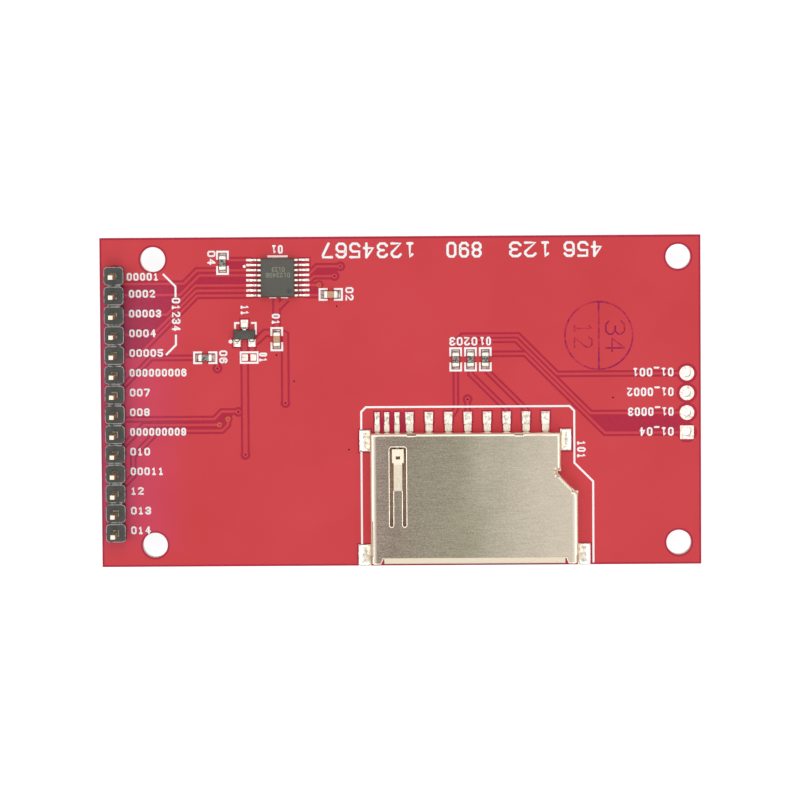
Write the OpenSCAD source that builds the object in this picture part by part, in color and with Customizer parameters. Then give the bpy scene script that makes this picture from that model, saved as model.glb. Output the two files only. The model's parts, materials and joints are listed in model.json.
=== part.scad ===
// Colour display module: a backlit liquid-crystal panel with a resistive touch panel is stuck
// to the front of a circuit board, whose back carries a pin header and a memory-card socket.
// The module lies on its touch face. X runs along the board, with the pin header at -X.
// Y runs across it, and the card goes in from -Y. Z goes up from the touch face to the pins.

/* [Board] */
// Board length
board_l = 77.18; // [76.6:0.02:80]
// Board width
board_w = 42.4; // [42.2:0.1:45]
// Board thickness
board_t = 1.6; // [0.8:0.1:2.4]
// Height of the lacquered copper over the bare board
copper_h = 0.05; // [0.04:0.01:0.1]
// Bare rim between the copper and the board's edge
copper_inset = 0.25; // [0.2:0.05:0.5]
// Width of a signal track
track_w = 0.32; // [0.2:0.02:0.36]
// Width of a supply track
supply_w = 0.58; // [0.4:0.02:0.7]
// Bare gap beside a track
track_gap = 0.27; // [0.15:0.01:0.3]
// Height of the white ink
ink_h = 0.04; // [0.03:0.01:0.08]
// Width of an inked line
ink_w = 0.25; // [0.12:0.01:0.3]

/* [Mounting holes] */
// Radius of a mounting hole
hole_r = 1.6; // [1.2:0.05:1.75]
// From the header end of the board to the nearer holes
hole_inset_header = 6.84; // [6.5:0.02:7.5]
// From the other end of the board to the farther holes
hole_inset_end = 2.89; // [2.6:0.01:4]
// From the long edges to the holes
hole_inset_side = 2.8; // [2.6:0.05:4]

/* [Pin header] */
// Number of header pins
header_count = 14; // [12:1:15]
// Distance from pin to pin
pin_pitch = 2.54; // [2.3:0.02:2.54]
// From the board's end to the row of pins
header_inset = 1.94; // [1.7:0.02:2.4]
// Side of a square pin
pin_w = 0.64; // [0.5:0.02:0.66]
// Width of the moulded strip
strip_w = 2.5; // [2.2:0.05:2.8]
// Height of the moulded strip
strip_h = 2.5; // [1.5:0.1:3.5]
// Bare length of a pin over the strip
pin_free = 6; // [3:0.1:11]
// Length of a pin's tail past the board's front
pin_tail = 1.4; // [1:0.1:2]
// Radius of a plated hole
plated_r = 0.52; // [0.5:0.01:0.6]
// Radius of the ring round a plated hole
ring_r = 0.94; // [0.8:0.01:1]

/* [Card signal holes] */
// Number of card signal holes
card_hole_count = 4; // [4:1:5]
// From the board's end to the row of card signal holes
card_hole_inset = 1.8; // [1.5:0.05:2.4]

/* [Touch controller] */
// Place of the controller along the board
chip_x = -15.7; // [-16.4:0.1:-15]
// From the board's long edge to the controller's middle
chip_inset = 5.2; // [4.6:0.1:5.6]
// Width of the moulded body between its rows of leads
chip_w = 4.4; // [4:0.1:4.8]
// Length of the moulded body
chip_l = 5; // [4.9:0.1:5.2]
// Height of the body's top over the pads
chip_h = 1.05; // [0.8:0.05:1.4]
// Distance from lead to lead
lead_pitch = 0.65; // [0.55:0.01:0.65]
// Width of a lead
lead_w = 0.24; // [0.15:0.01:0.3]

/* [Small parts] */
// Length of a chip resistor or capacitor
chip_part_l = 1.6; // [1.4:0.05:1.8]
// Width of a chip resistor or capacitor
chip_part_w = 0.8; // [0.6:0.05:0.95]
// Height of a chip resistor
resistor_h = 0.45; // [0.3:0.05:0.6]
// Height of a chip capacitor
capacitor_h = 0.8; // [0.5:0.05:1]
// Length of a metal end
cap_end_l = 0.33; // [0.2:0.01:0.45]
// Length of the regulator's body
regulator_l = 2.8; // [2.6:0.1:3.1]
// Width of the regulator's body
regulator_w = 1.25; // [1.1:0.05:1.5]
// Height of the regulator's top over the pads
regulator_h = 1.05; // [0.8:0.05:1.3]

/* [Card socket] */
// Place of the shell's left wall along the board
socket_x = -3.95; // [-5:0.05:-3]
// From the board's long edge to the lip of the slot
socket_inset = 0.45; // [0.3:0.05:1]
// Depth of the shell behind its lip
shell_d = 16.05; // [15.5:0.05:16.6]
// Width of the shell at the slot
shell_w = 26.65; // [26:0.05:27.5]
// Height of the shell
shell_h = 2.8; // [2.6:0.05:3.4]
// Thickness of the shell's sheet
sheet_t = 0.22; // [0.15:0.01:0.25]
// Radius of the shell's outer bends
bend_r = 0.45; // [0.3:0.05:0.5]
// Distance from card contact to card contact
contact_pitch = 2.5; // [2.4:0.02:2.5]
// Width of a card contact
contact_w = 0.66; // [0.5:0.02:0.8]
// Width of the card that the slot takes
card_w = 24; // [23.6:0.1:24.2]

/* [Display panel] */
// Length of the panel
panel_l = 60.26; // [59:0.02:60.8]
// Width of the panel
panel_w = 42; // [40:0.1:42.1]
// Thickness of the touch film
film_t = 0.2; // [0.15:0.05:0.4]
// Thickness of the adhesive rim between film and glass
spacer_t = 0.1; // [0.1:0.05:0.2]
// Thickness of the touch glass
touch_glass_t = 0.7; // [0.5:0.1:1.1]
// Thickness of the tape between touch glass and panel
tape_t = 0.2; // [0.1:0.05:0.4]
// Thickness of a polariser
polariser_t = 0.15; // [0.1:0.01:0.25]
// Thickness of one cell glass
cell_glass_t = 0.5; // [0.4:0.05:0.7]
// Thickness of the shading rim between cell and backlight
rim_t = 0.1; // [0.05:0.05:0.15]
// Thickness of one light film
light_film_t = 0.15; // [0.1:0.01:0.2]
// Thickness of the light guide
guide_t = 0.5; // [0.4:0.05:0.8]
// Thickness of the reflector sheet
reflector_t = 0.1; // [0.1:0.05:0.2]
// Thickness of the foam tape between panel and board
foam_t = 0.45; // [0.4:0.05:1]
// Wall of the moulded light frame
frame_wall = 0.9; // [0.6:0.05:1.2]
// Width of the shelf that carries the cell
shelf_w = 0.9; // [0.5:0.05:1.4]
// Length of the glass ledge that carries the driver chip
ledge_l = 4.2; // [3.8:0.1:5]
// Width of the display flex
flex_w = 17; // [15.5:0.1:20]
// Thickness of the display flex
flex_t = 0.12; // [0.08:0.01:0.2]
// Width of the touch tail
tail_w = 7; // [5:0.5:9]

/* [Hidden] */
$fn = 48;

// Levels from the touch face up, each resting on the one before
spacer_z = film_t;
touch_glass_z = spacer_z + spacer_t;
tape_z = touch_glass_z + touch_glass_t;
frame_z = tape_z + tape_t;
filter_z = frame_z + polariser_t;
array_z = filter_z + cell_glass_t;
lower_polariser_z = array_z + cell_glass_t;
rim_z = lower_polariser_z + polariser_t;
prism_z = rim_z + rim_t;
diffuser_z = prism_z + light_film_t;
guide_z = diffuser_z + light_film_t;
reflector_z = guide_z + guide_t;
panel_back_z = reflector_z + reflector_t;
front_face_z = panel_back_z + foam_t;
board_z = front_face_z + copper_h;
top_z = board_z + board_t;
pad_z = top_z + copper_h;

// Places on the board
board_end = board_l / 2;
board_side = board_w / 2;
hole_x = [-board_end + hole_inset_header, board_end - hole_inset_end];
hole_y = board_side - hole_inset_side;
header_x = -board_end + header_inset;
header_y = -0.12;
function pin_y(n) = header_y + ((header_count + 1) / 2 - n) * pin_pitch;
card_x = board_end - card_hole_inset;
card_y = -0.42;
function card_hole_y(n) = card_y + ((card_hole_count + 1) / 2 - n) * pin_pitch;
pin_at = [for (n = [1:header_count]) [header_x, pin_y(n)]];
card_hole_at = [for (n = [1:card_hole_count]) [card_x, card_hole_y(n)]];
antipad = 0.36;
lip_d = 0.7;
socket_rear = -board_side + socket_inset + lip_d + shell_d;
square_ring_w = 1.86 * ring_r;

// Touch controller and its pads
chip_at = [chip_x, board_side - chip_inset];
lead_rows = 8;
lead_span = chip_w + 2;
lead_pad = [1.3, lead_w + 0.06];
lead_pad_x = lead_span / 2 + 0.2;
function lead_y(row) = chip_at.y + ((lead_rows + 1) / 2 - row) * lead_pitch;

// Small parts: resistors stand for a place, a turn and whether they are a capacitor
pull_up_pitch = 1.9;
resistor_1_at = [socket_x + 14.85, socket_rear + 9.34];
resistor_2_at = resistor_1_at - [pull_up_pitch, 0];
resistor_3_at = resistor_2_at - [pull_up_pitch, 0];
resistor_4_at = chip_at + [-7.08, 1.94];
resistor_6_at = [header_x + 11.55, header_y + 5.87];
capacitor_1_at = chip_at + [-0.18, -7.91];
capacitor_2_at = chip_at + [6.8, -2.2];
upright = 90;
part_places = [
    [resistor_1_at, upright], [resistor_2_at, upright], [resistor_3_at, upright],
    [resistor_4_at, upright], [resistor_6_at, 0], [capacitor_1_at, upright], [capacitor_2_at, 0]
];
part_pad = [0.75, chip_part_w + 0.05];
part_pad_x = 0.78;
pad_gap = 0.2;
regulator_at = chip_at + [-4.33, -7.31];
regulator_lead_x = 0.95;
regulator_span = 2.5;
regulator_pad = [0.95, 0.92];
regulator_pad_y = [1.45, -1.08];
jumper_at = regulator_at + [0.58, -2.95];
jumper_pitch = 1.08;
jumper_pad = [0.74, 0.82];

// Card socket, measured from the shell's left wall and rear edge, on the board's copper
shell_rear_w = shell_w - 2.2;
notch_y = [-4.95, -7.5];
notch_step = 0.4;
contact_count = 8;
first_contact_x = 22.55;
ninth_contact_x = first_contact_x - (contact_count - 1) * contact_pitch - 1.6;
detect_x = [ninth_contact_x - 1.32, ninth_contact_x - 2.55];
detect_w = 0.45;
contact_x = [for (n = [0:contact_count - 1]) first_contact_x - n * contact_pitch];
socket_pad_l = 2.5;
contact_pad_w = 1.08;
narrow_pad_w = 0.66;
contact_pad_y = 1.35;
foot_t = 0.2;
// Each soldered foot: its side (-1 left, 1 right), the wall it leaves, its middle, reach and pad
rear_foot_y = -1.07;
front_foot_y = -shell_d + 0.2;
foot_l = 1.9;
rear_foot_pad = [1.4, 2.75];
front_foot_pad = [1.6, 2.75];
feet = [
    [-1, 0, rear_foot_y, 0.65, rear_foot_pad], [-1, 0, front_foot_y, 0.8, front_foot_pad],
    [1, shell_rear_w, rear_foot_y, 0.65, rear_foot_pad],
    [1, shell_w, front_foot_y, 0.8, front_foot_pad]
];

// Display panel, whose flex needs room to fold back beside the row of pins
fold_room = 8.495;
panel_x0 = header_x + fold_room;
panel_x = panel_x0 + panel_l / 2;
touch_inset = 0.2;
pocket = [panel_l - 2 * frame_wall, panel_w - 2 * frame_wall];
window = pocket - 2 * [shelf_w, shelf_w];
seat_gap = 0.1;
cell = pocket - 2 * [seat_gap, seat_gap];
cell_x0 = panel_x - cell.x / 2;
sheet = window - 2 * [seat_gap, seat_gap];
sheet_x0 = panel_x - sheet.x / 2;
led_room = 2.6;
led_count = 4;
rim_border = 1.9;
tape_border = 1.6;
bond_l = 1.2;
flex_shoulder_w = flex_w + 8;
flex_pad_count = 18;
flex_pad_pitch = 0.8;
flex_pad_l = 3;
flex_pad_x = panel_x0 + 2;
flex_z = array_z - flex_t / 2;
flex_return_z = front_face_z - flex_t / 2;
tail_z = spacer_z + spacer_t / 2;
tail_rest_z = array_z - flex_t - spacer_t / 2;
tail_sweep = 60;
tail_r = (tail_rest_z - tail_z) / (2 * (1 - cos(tail_sweep)));
tail_foot = 1.4;
tail_turn_x = panel_x0 - 0.2;
flex_turn_x = tail_turn_x - 2 * tail_r * sin(tail_sweep) - tail_foot - 0.2;

// ---- Strips of one width along a line of points ----

function unit(v) = v / norm(v);
function left_of(v) = [-v.y, v.x];
// Normal at point i, lengthened at a corner so that both edges keep their distance
function edge_normal(p, i) =
    i == 0 ? left_of(unit(p[1] - p[0]))
    : i == len(p) - 1 ? left_of(unit(p[i] - p[i - 1]))
    : corner_normal(left_of(unit(p[i] - p[i - 1])), left_of(unit(p[i + 1] - p[i])));
function corner_normal(a, b) = (a + b) / (1 + a * b);
function beside(p, d) = [for (i = [0:len(p) - 1]) p[i] + d * edge_normal(p, i)];
function reversed(p) = [for (i = [len(p) - 1:-1:0]) p[i]];
// Closed outline moved inwards by d, for points that run anticlockwise
function inset(p, d) = [
    for (i = [0:len(p) - 1])
        let (before = p[(i + len(p) - 1) % len(p)], after = p[(i + 1) % len(p)])
        p[i] + d * corner_normal(left_of(unit(p[i] - before)), left_of(unit(after - p[i])))
];
function arc(centre, r, from, to, steps) = [
    for (i = [0:steps]) centre + r * [cos(from + (to - from) * i / steps),
                                      sin(from + (to - from) * i / steps)]
];

module strip(p, w) {
    polygon(concat(beside(p, w / 2), reversed(beside(p, -w / 2))));
}

module plate(x0, size, z, t) {
    translate([x0, -size.y / 2, z])
        cube([size.x, size.y, t]);
}

// A profile in X and Z, carried along Y and centred on it
module across(w) {
    rotate([90, 0, 0])
        linear_extrude(w, center = true)
            children();
}

// A profile in Y and Z, carried along X from x0
module along(x0, w) {
    translate([x0, 0, 0])
        rotate([90, 0, 90])
            linear_extrude(w)
                children();
}

module at_each(places) {
    for (p = places)
        translate(p)
            children();
}

module pad(size, grow) {
    square(size + 2 * [grow, grow], center = true);
}

// ---- Pattern of copper, pads and ink on the board's back ----

// From a lead of the controller to a header pin: level up to a turn, down at 45 degrees, level
function touch_line(row, pin, turn) = [
    [chip_x - lead_pad_x, lead_y(row)], [header_x + turn, lead_y(row)],
    [header_x + turn - lead_y(row) + pin_y(pin), pin_y(pin)], [header_x, pin_y(pin)]
];
interrupt_y = pin_y(1) - 1.1;
interrupt_turn_x = header_x + 10.55;
interrupt_line = [
    [chip_x - lead_pad_x, lead_y(3)], [interrupt_turn_x, lead_y(3)],
    [interrupt_turn_x - lead_y(3) + interrupt_y, interrupt_y], [header_x + 1.1, interrupt_y],
    [header_x, pin_y(1)]
];
touch_lines = [
    interrupt_line, touch_line(4, 2, 10.85), touch_line(6, 3, 10.35),
    touch_line(7, 4, 10.45), touch_line(8, 5, 10.55)
];
// From a pull-up resistor to a card signal hole: level up to a turn, down at 45 degrees, level
function card_line(start, y, turn, hole) = concat(start, [
    [card_x - turn, y], [card_x - turn + y - card_hole_y(hole), card_hole_y(hole)],
    [card_x, card_hole_y(hole)]
]);
up = [0, part_pad_x];
clock_line = card_line([resistor_3_at + up, resistor_3_at + [0, 2.13], resistor_3_at + [0.9, 3.03]],
                       resistor_3_at.y + 3.03, 21.64, 1);
data_line = card_line([resistor_2_at + up, resistor_2_at + [0, 1.73], resistor_2_at + [0.75, 2.48]],
                      resistor_2_at.y + 2.48, 21.89, 3);
select_line = card_line([resistor_1_at + up - [0, 0.1]], resistor_1_at.y + up.y - 0.1, 20.79, 4);
function contact_pad_at(x) = [socket_x + x, socket_rear + contact_pad_y];
// From a pull-up resistor down at 45 degrees to a card contact
function contact_line(from, x) = [
    from - up, [from.x, contact_pad_at(x).y + 1.5 + contact_pad_at(x).x - from.x],
    contact_pad_at(x) + [0, 1.5], contact_pad_at(x)
];
via_clock = [header_x + 15.75, header_y - 1.13];
via_reset = [header_x + 13.3, header_y - 2.78];
via_select = [header_x + 14.4, header_y - 2.03];
clock_in = [
    pin_at[7], pin_at[7] + [0.76, -0.76], pin_at[7] + [12.65, -0.76],
    [header_x + 13.6, via_clock.y + 0.05], via_clock + [0, 0.05]
];
reset_in = [
    pin_at[9], [header_x - pin_at[9].y + via_reset.y, via_reset.y], via_reset
];
select_in = [
    pin_at[11], pin_at[11] + [2.15, 2.15], [header_x + 2.15, header_y - 6.78],
    [header_x + 5.4, header_y - 3.53], [header_x + 13.65, header_y - 3.53],
    [via_select.x, header_y - 2.78], via_select
];
lamp_line = [
    resistor_6_at - [part_pad_x, 0],
    [header_x + resistor_6_at.y - pin_at[6].y, resistor_6_at.y], pin_at[6]
];
via_x_minus = chip_at + [7.3, 0.15];
via_y_minus = chip_at + [8.05, 1.4];
via_y_plus = [chip_x + 5.3, lead_y(6)];
via_lamp = resistor_6_at + [1.55, -1.4];
via_supply = [regulator_at.x, header_y - 6.68];
via_core = capacitor_1_at + [1.05, -8.25];
via_contact = [contact_pad_at(contact_x[4]).x, socket_rear + 4.2];
lead_out_x = chip_x + lead_pad_x;
signal_tracks = concat(touch_lines, [
    clock_line, data_line, select_line, clock_in, reset_in, select_in, lamp_line,
    contact_line(resistor_2_at, contact_x[2]), contact_line(resistor_1_at, contact_x[1]),
    [resistor_3_at - up, [resistor_3_at.x, socket_rear + 3], contact_pad_at(contact_x[5])],
    [via_contact, contact_pad_at(contact_x[4])],
    [resistor_4_at + up, [resistor_4_at.x + 0.6, lead_y(1)], [chip_x - lead_pad_x, lead_y(1)]],
    [[chip_x - lead_pad_x, lead_y(2)], [chip_x - lead_pad_x, lead_y(1)]],
    [[lead_out_x, lead_y(4)], [lead_out_x + 0.55, lead_y(4)],
     [lead_out_x + 0.55 + via_y_minus.y - lead_y(4), via_y_minus.y], via_y_minus],
    [[lead_out_x, lead_y(5)], [lead_out_x + 0.75, lead_y(5)],
     [lead_out_x + 0.75 + via_x_minus.y - lead_y(5), via_x_minus.y], via_x_minus],
    [[lead_out_x, lead_y(6)], via_y_plus],
    [[lead_out_x, lead_y(8)], [capacitor_2_at.x - part_pad_x, lead_y(8)]],
    [resistor_6_at + [part_pad_x, 0], via_lamp + [0, 0.6], via_lamp]
]);
supply_tracks = [
    [regulator_at + [0, regulator_pad_y[0]], via_supply],
    [regulator_at + [regulator_lead_x, regulator_pad_y[1]],
     [regulator_at.x + regulator_lead_x, jumper_at.y]],
    [regulator_at + [regulator_lead_x, regulator_pad_y[1]], capacitor_1_at + [-2.5, -0.15],
     capacitor_1_at + [-1.5, 0.8], capacitor_1_at + [0, 0.8]],
    [capacitor_1_at + up, [capacitor_1_at.x, chip_at.y - 2.6]],
    [[capacitor_1_at.x + 0.2, chip_at.y - 3.8], [capacitor_1_at.x + 1.3, chip_at.y - 2.7]],
    [capacitor_1_at + up, capacitor_1_at + [0.6, part_pad_x], via_core + [0, 8.8], via_core]
];
ringed_vias = [
    via_x_minus, via_y_minus, via_lamp, via_supply, via_core, via_clock, via_contact
];
open_vias = [via_y_plus, via_reset, via_select];
pour_vias = [
    capacitor_2_at + [0.75, -1.5], capacitor_1_at + [-0.05, -2.05], via_core + [1.15, 2.8],
    [socket_x - 2.75, socket_rear - 2.2], [card_x - 9.49, card_y + 0.72]
];
via_places = concat(ringed_vias, open_vias, pour_vias);
via_r = 0.15;
via_wall = 0.05;
via_ring_r = 0.32;
via_moat_r = 0.64;

// Areas between neighbouring tracks that carry no copper
bare_areas = [
    concat(touch_lines[0], reversed(touch_lines[4])),
    [resistor_4_at, [chip_x - lead_pad_x, resistor_4_at.y], [chip_x - lead_pad_x, lead_y(3)],
     resistor_4_at - [0, 1]],
    [[lead_out_x, lead_y(8)], [capacitor_2_at.x - part_pad_x, lead_y(8)], via_y_plus,
     [lead_out_x, lead_y(6)]],
    [[lead_out_x, lead_y(5)], via_x_minus, via_y_minus, [lead_out_x + 1, via_y_minus.y]],
    [for (i = [len(data_line) - 2, len(data_line) - 1]) data_line[i],
     for (i = [len(select_line) - 1, len(select_line) - 2]) select_line[i]],
    [clock_in[2], clock_in[3], clock_in[4], via_select, select_in[5], select_in[4],
     [clock_in[2].x, select_in[4].y]],
    [for (p = [[detect_x[1], -1], [contact_x[contact_count - 1], -1],
               [contact_x[contact_count - 1], 1], [detect_x[0], 1], [detect_x[0], 0.4],
               [detect_x[1], 0.4]])
        contact_pad_at(p.x) + [0, p.y * socket_pad_l / 2]]
];

module chip_pads(grow) {
    at_each([for (row = [1:lead_rows], side = [-1, 1]) [chip_x + side * lead_pad_x, lead_y(row)]])
        pad(lead_pad, grow);
}

module part_pads(grow) {
    for (place = part_places, side = [-1, 1])
        translate(place[0])
            rotate(place[1])
                translate([side * part_pad_x, 0])
                    pad(part_pad, grow);
}

module regulator_pads(grow) {
    at_each([regulator_at + [0, regulator_pad_y[0]],
             for (side = [-1, 1]) regulator_at + [side * regulator_lead_x, regulator_pad_y[1]]])
        pad(regulator_pad, grow);
}

module jumper_pads(grow) {
    at_each([for (side = [-1, 1]) jumper_at + [side * jumper_pitch / 2, 0]])
        pad(jumper_pad, grow);
}

module socket_pads(grow) {
    // Wide towards the board, narrow where the contact's tail lies
    for (x = contact_x)
        translate(contact_pad_at(x)) {
            translate([0, socket_pad_l / 4])
                pad([contact_pad_w, socket_pad_l / 2], grow);
            translate([0.02, 0])
                pad([contact_w + 0.24, socket_pad_l], grow);
        }
    at_each([for (x = [ninth_contact_x, detect_x[0], detect_x[1]]) contact_pad_at(x)])
        pad([narrow_pad_w, socket_pad_l], grow);
    for (foot = feet)
        translate([socket_x + foot[1] + foot[0] * foot[4].x / 2, socket_rear + foot[2]])
            pad(foot[4], grow);
}

module all_pads(grow = 0) {
    chip_pads(grow);
    part_pads(grow);
    regulator_pads(grow);
    jumper_pads(grow);
    socket_pads(grow);
}

module all_tracks(grow = 0) {
    for (line = signal_tracks)
        strip(line, track_w + 2 * grow);
    for (line = supply_tracks)
        strip(line, supply_w + 2 * grow);
}

module board_holes(r_plated, r_via) {
    at_each([for (x = hole_x, side = [-1, 1]) [x, side * hole_y]])
        circle(hole_r);
    at_each(concat(pin_at, card_hole_at))
        circle(r_plated);
    at_each(via_places)
        circle(r_via);
}

// ---- The board and what is printed and plated on it ----

module board() {
    color("#a52a3c")
        translate([0, 0, board_z])
            linear_extrude(board_t)
                difference() {
                    square([board_l, board_w], center = true);
                    board_holes(plated_r, via_r + via_wall);
                }
}

module copper_outline() {
    square([board_l, board_w] - 2 * [copper_inset, copper_inset], center = true);
}

module hole_clearance() {
    at_each([for (x = hole_x, side = [-1, 1]) [x, side * hole_y]])
        circle(hole_r + 0.25);
    at_each(concat(pin_at, card_hole_at))
        circle(ring_r + antipad);
}

module back_copper() {
    color("#cd464c")
        translate([0, 0, top_z])
            linear_extrude(copper_h)
                difference() {
                    union() {
                        difference() {
                            copper_outline();
                            hole_clearance();
                            all_pads(pad_gap);
                            all_tracks(track_gap);
                            at_each(ringed_vias)
                                circle(via_moat_r);
                            at_each(open_vias)
                                circle(via_ring_r + track_gap);
                            for (area = bare_areas)
                                polygon(area);
                        }
                        all_tracks();
                        at_each(ringed_vias)
                            circle(via_ring_r);
                    }
                    all_pads();
                    at_each(concat(pin_at, card_hole_at))
                        circle(ring_r);
                    at_each(concat(ringed_vias, pour_vias))
                        circle(via_r + via_wall);
                    at_each(open_vias)
                        circle(via_ring_r);
                }
}

module flex_pad_shapes(grow = 0) {
    at_each([for (i = [1:flex_pad_count])
        [flex_pad_x, (i - (flex_pad_count + 1) / 2) * flex_pad_pitch]])
        pad([flex_pad_l, flex_pad_pitch / 2], grow);
}

module front_copper() {
    color("#cd464c")
        translate([0, 0, front_face_z])
            linear_extrude(copper_h)
                difference() {
                    copper_outline();
                    hole_clearance();
                    translate([flex_pad_x, 0])
                        square([flex_pad_l + 1, (flex_pad_count + 1) * flex_pad_pitch], center = true);
                    at_each(via_places)
                        circle(via_ring_r);
                }
}

// Plated rings on both faces of the board round one hole
module hole_rings(ring) {
    for (z = [front_face_z, top_z])
        translate([0, 0, z])
            linear_extrude(copper_h)
                difference() {
                    if (ring == "square")
                        square(square_ring_w, center = true);
                    else
                        circle(ring_r);
                    circle(plated_r);
                }
}

module header_rings() {
    color("#d8d8cc")
        at_each(pin_at)
            hole_rings("round");
}

module card_rings() {
    color("#d8d8cc")
        for (i = [0:card_hole_count - 1])
            translate(card_hole_at[i])
                hole_rings(i == card_hole_count - 1 ? "square" : "round");
}

module via_tube(z, t, r) {
    translate([0, 0, z])
        linear_extrude(t)
            difference() {
                circle(r);
                circle(via_r);
            }
}

module vias() {
    color("#c8643c") {
        at_each(via_places)
            via_tube(board_z, board_t, via_r + via_wall);
        at_each(concat(ringed_vias, pour_vias))
            via_tube(top_z, copper_h, via_r + via_wall);
        at_each(open_vias)
            via_tube(top_z, copper_h, via_ring_r);
        at_each(via_places)
            via_tube(front_face_z, copper_h, via_ring_r);
    }
}

module back_pads() {
    color("#e0e0d6")
        translate([0, 0, top_z])
            linear_extrude(copper_h)
                all_pads();
}

module flex_pads() {
    color("#e0e0d6")
        translate([0, 0, front_face_z])
            linear_extrude(copper_h)
                flex_pad_shapes();
}

// Outline round a chip part, open beside its middle where gap is more than nothing
module part_frame(l, w, gap) {
    difference() {
        square([l, w], center = true);
        square([l - 2 * ink_w, w - 2 * ink_w], center = true);
        if (gap > 0)
            square([gap, 2 * w], center = true);
    }
}

module socket_outline() {
    x0 = socket_x - 1.15;
    x1 = socket_x + shell_rear_w + 1.8;
    x2 = socket_x + shell_w + 2;
    y1 = contact_pad_at(0).y + 1.9;
    corner = 0.6;
    strip([[x0, -board_side + ink_w], [x0, y1 - corner], [x0 + corner, y1], [x1 - corner, y1],
           [x1, y1 - corner], [x1, socket_rear - 4.08],
           [x2, socket_rear - 4.08 - x2 + x1], [x2, -board_side + ink_w]], ink_w);
}

module legend_shapes() {
    for (place = part_places)
        translate(place[0])
            rotate(place[1])
                part_frame(3.1, 1.62, 0.8);
    translate(jumper_at)
        part_frame(2.4, 1.6, 0);
    translate(regulator_at) {
        strip([[-1.2, 0.75], [-1.2, 1.5], [-0.65, 1.5]], ink_w);
        strip([[0.85, 1.5], [1.45, 1.5], [1.45, 0]], ink_w);
        translate([-1.8, -0.88])
            circle(0.25);
    }
    translate(chip_at) {
        translate([-1.3, chip_l / 2 + 0.1])
            square([2.6, 0.25]);
        for (x = [-1.1, 0.4])
            translate([x, -chip_l / 2 - 0.15])
                square([0.9, 0.12]);
        translate([-lead_pad_x - 0.88, 1.45])
            circle(0.2);
    }
    // Bracket that gathers the touch pins
    strip([[header_x + 6.2, pin_y(1) + 0.15], [header_x + 7.8, pin_y(1) - 1.45],
           [header_x + 7.8, pin_y(2) - 0.3]], ink_w);
    strip([[header_x + 7.8, pin_y(4) - 0.03], [header_x + 7.8, pin_y(5) + 1.2],
           [header_x + 6.5, pin_y(5) - 0.1]], ink_w);
    socket_outline();
}

module legend() {
    color("#fff4f4")
        translate([0, 0, pad_z])
            linear_extrude(ink_h)
                difference() {
                    legend_shapes();
                    all_pads(0.08);
                }
}

stamp_at = [card_x - 11.29, card_y + 8.72];
stamp_r = 4.45;
stamp_line = 0.2;
module ink_stamp() {
    color("#a03460")
        translate([stamp_at.x, stamp_at.y, pad_z])
            linear_extrude(ink_h / 2) {
                difference() {
                    circle(stamp_r);
                    circle(stamp_r - stamp_line);
                }
                square([stamp_line, 2 * stamp_r - stamp_line], center = true);
            }
}

// ---- Pin header ----

cell_corner = 0.45;
snap_depth = 0.2;
module rounded_cell(size, r) {
    square(size - [2 * r, 0], center = true);
    square(size - [0, 2 * r], center = true);
    at_each([for (x = [-1, 1], y = [-1, 1]) [x * (size.x / 2 - r), y * (size.y / 2 - r)]])
        circle(r);
}

module header_strip() {
    cell = [strip_w, pin_pitch - 0.24];
    waist_w = strip_w - 2 * cell_corner;
    color("#4c4e4a")
        translate([0, 0, pad_z])
            difference() {
                union() {
                    linear_extrude(strip_h)
                        at_each(pin_at)
                            rounded_cell(cell, cell_corner);
                    // The snapping grooves leave a lower web between the cells
                    translate([header_x - waist_w / 2, pin_y(header_count), 0])
                        cube([waist_w, (header_count - 1) * pin_pitch, strip_h - snap_depth]);
                }
                translate([0, 0, -1])
                    linear_extrude(strip_h + 2)
                        at_each(pin_at)
                            square(pin_w, center = true);
            }
}

// Square wire with coined ends
module header_pin() {
    z0 = board_z - pin_tail;
    z1 = pad_z + strip_h + pin_free;
    h = pin_w / 2;
    tip = h * 0.8;
    taper = 0.3;
    profile = [
        [-tip, z0], [tip, z0], [h, z0 + taper], [h, z1 - taper],
        [tip, z1], [-tip, z1], [-h, z1 - taper], [-h, z0 + taper]
    ];
    intersection() {
        across(pin_w)
            polygon(profile);
        rotate(90)
            across(pin_w)
                polygon(profile);
    }
}

module header_pins() {
    color("#d9c48a")
        at_each(pin_at)
            header_pin();
}

// Solder that fills the plated hole and stands as a cone on the board's front
module header_solder() {
    fillet_h = 0.75;
    color("#c9ccce")
        at_each(pin_at)
            difference() {
                rotate_extrude()
                    polygon([
                        [0, front_face_z - fillet_h], [pin_w * 0.72, front_face_z - fillet_h],
                        [pin_w, front_face_z - fillet_h * 0.4], [ring_r - 0.04, front_face_z],
                        [plated_r, front_face_z], [plated_r, pad_z], [0, pad_z]
                    ]);
                translate([-pin_w / 2, -pin_w / 2, 0])
                    cube([pin_w, pin_w, pad_z + 1]);
            }
}

// ---- Moulded chips and chip parts ----

// Block whose sides lean in above and below the parting line, as a mould leaves them
module moulded_block(size, z0, z1) {
    lean = (z1 - z0) * 0.12;
    mid = (z0 + z1) / 2;
    intersection() {
        across(size.y + 1)
            polygon([for (p = [[-1, z0, 1], [1, z0, 1], [1, mid, 0], [1, z1, 1], [-1, z1, 1],
                              [-1, mid, 0]]) [p[0] * (size.x / 2 - p[2] * lean), p[1]]]);
        rotate(90)
            across(size.x + 1)
                polygon([for (p = [[-1, z0, 1], [1, z0, 1], [1, mid, 0], [1, z1, 1], [-1, z1, 1],
                                  [-1, mid, 0]]) [p[0] * (size.y / 2 - p[2] * lean), p[1]]]);
    }
}

chip_standoff = 0.1;
chip_lead_t = 0.15;
lead_root = 0.3;
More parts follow.
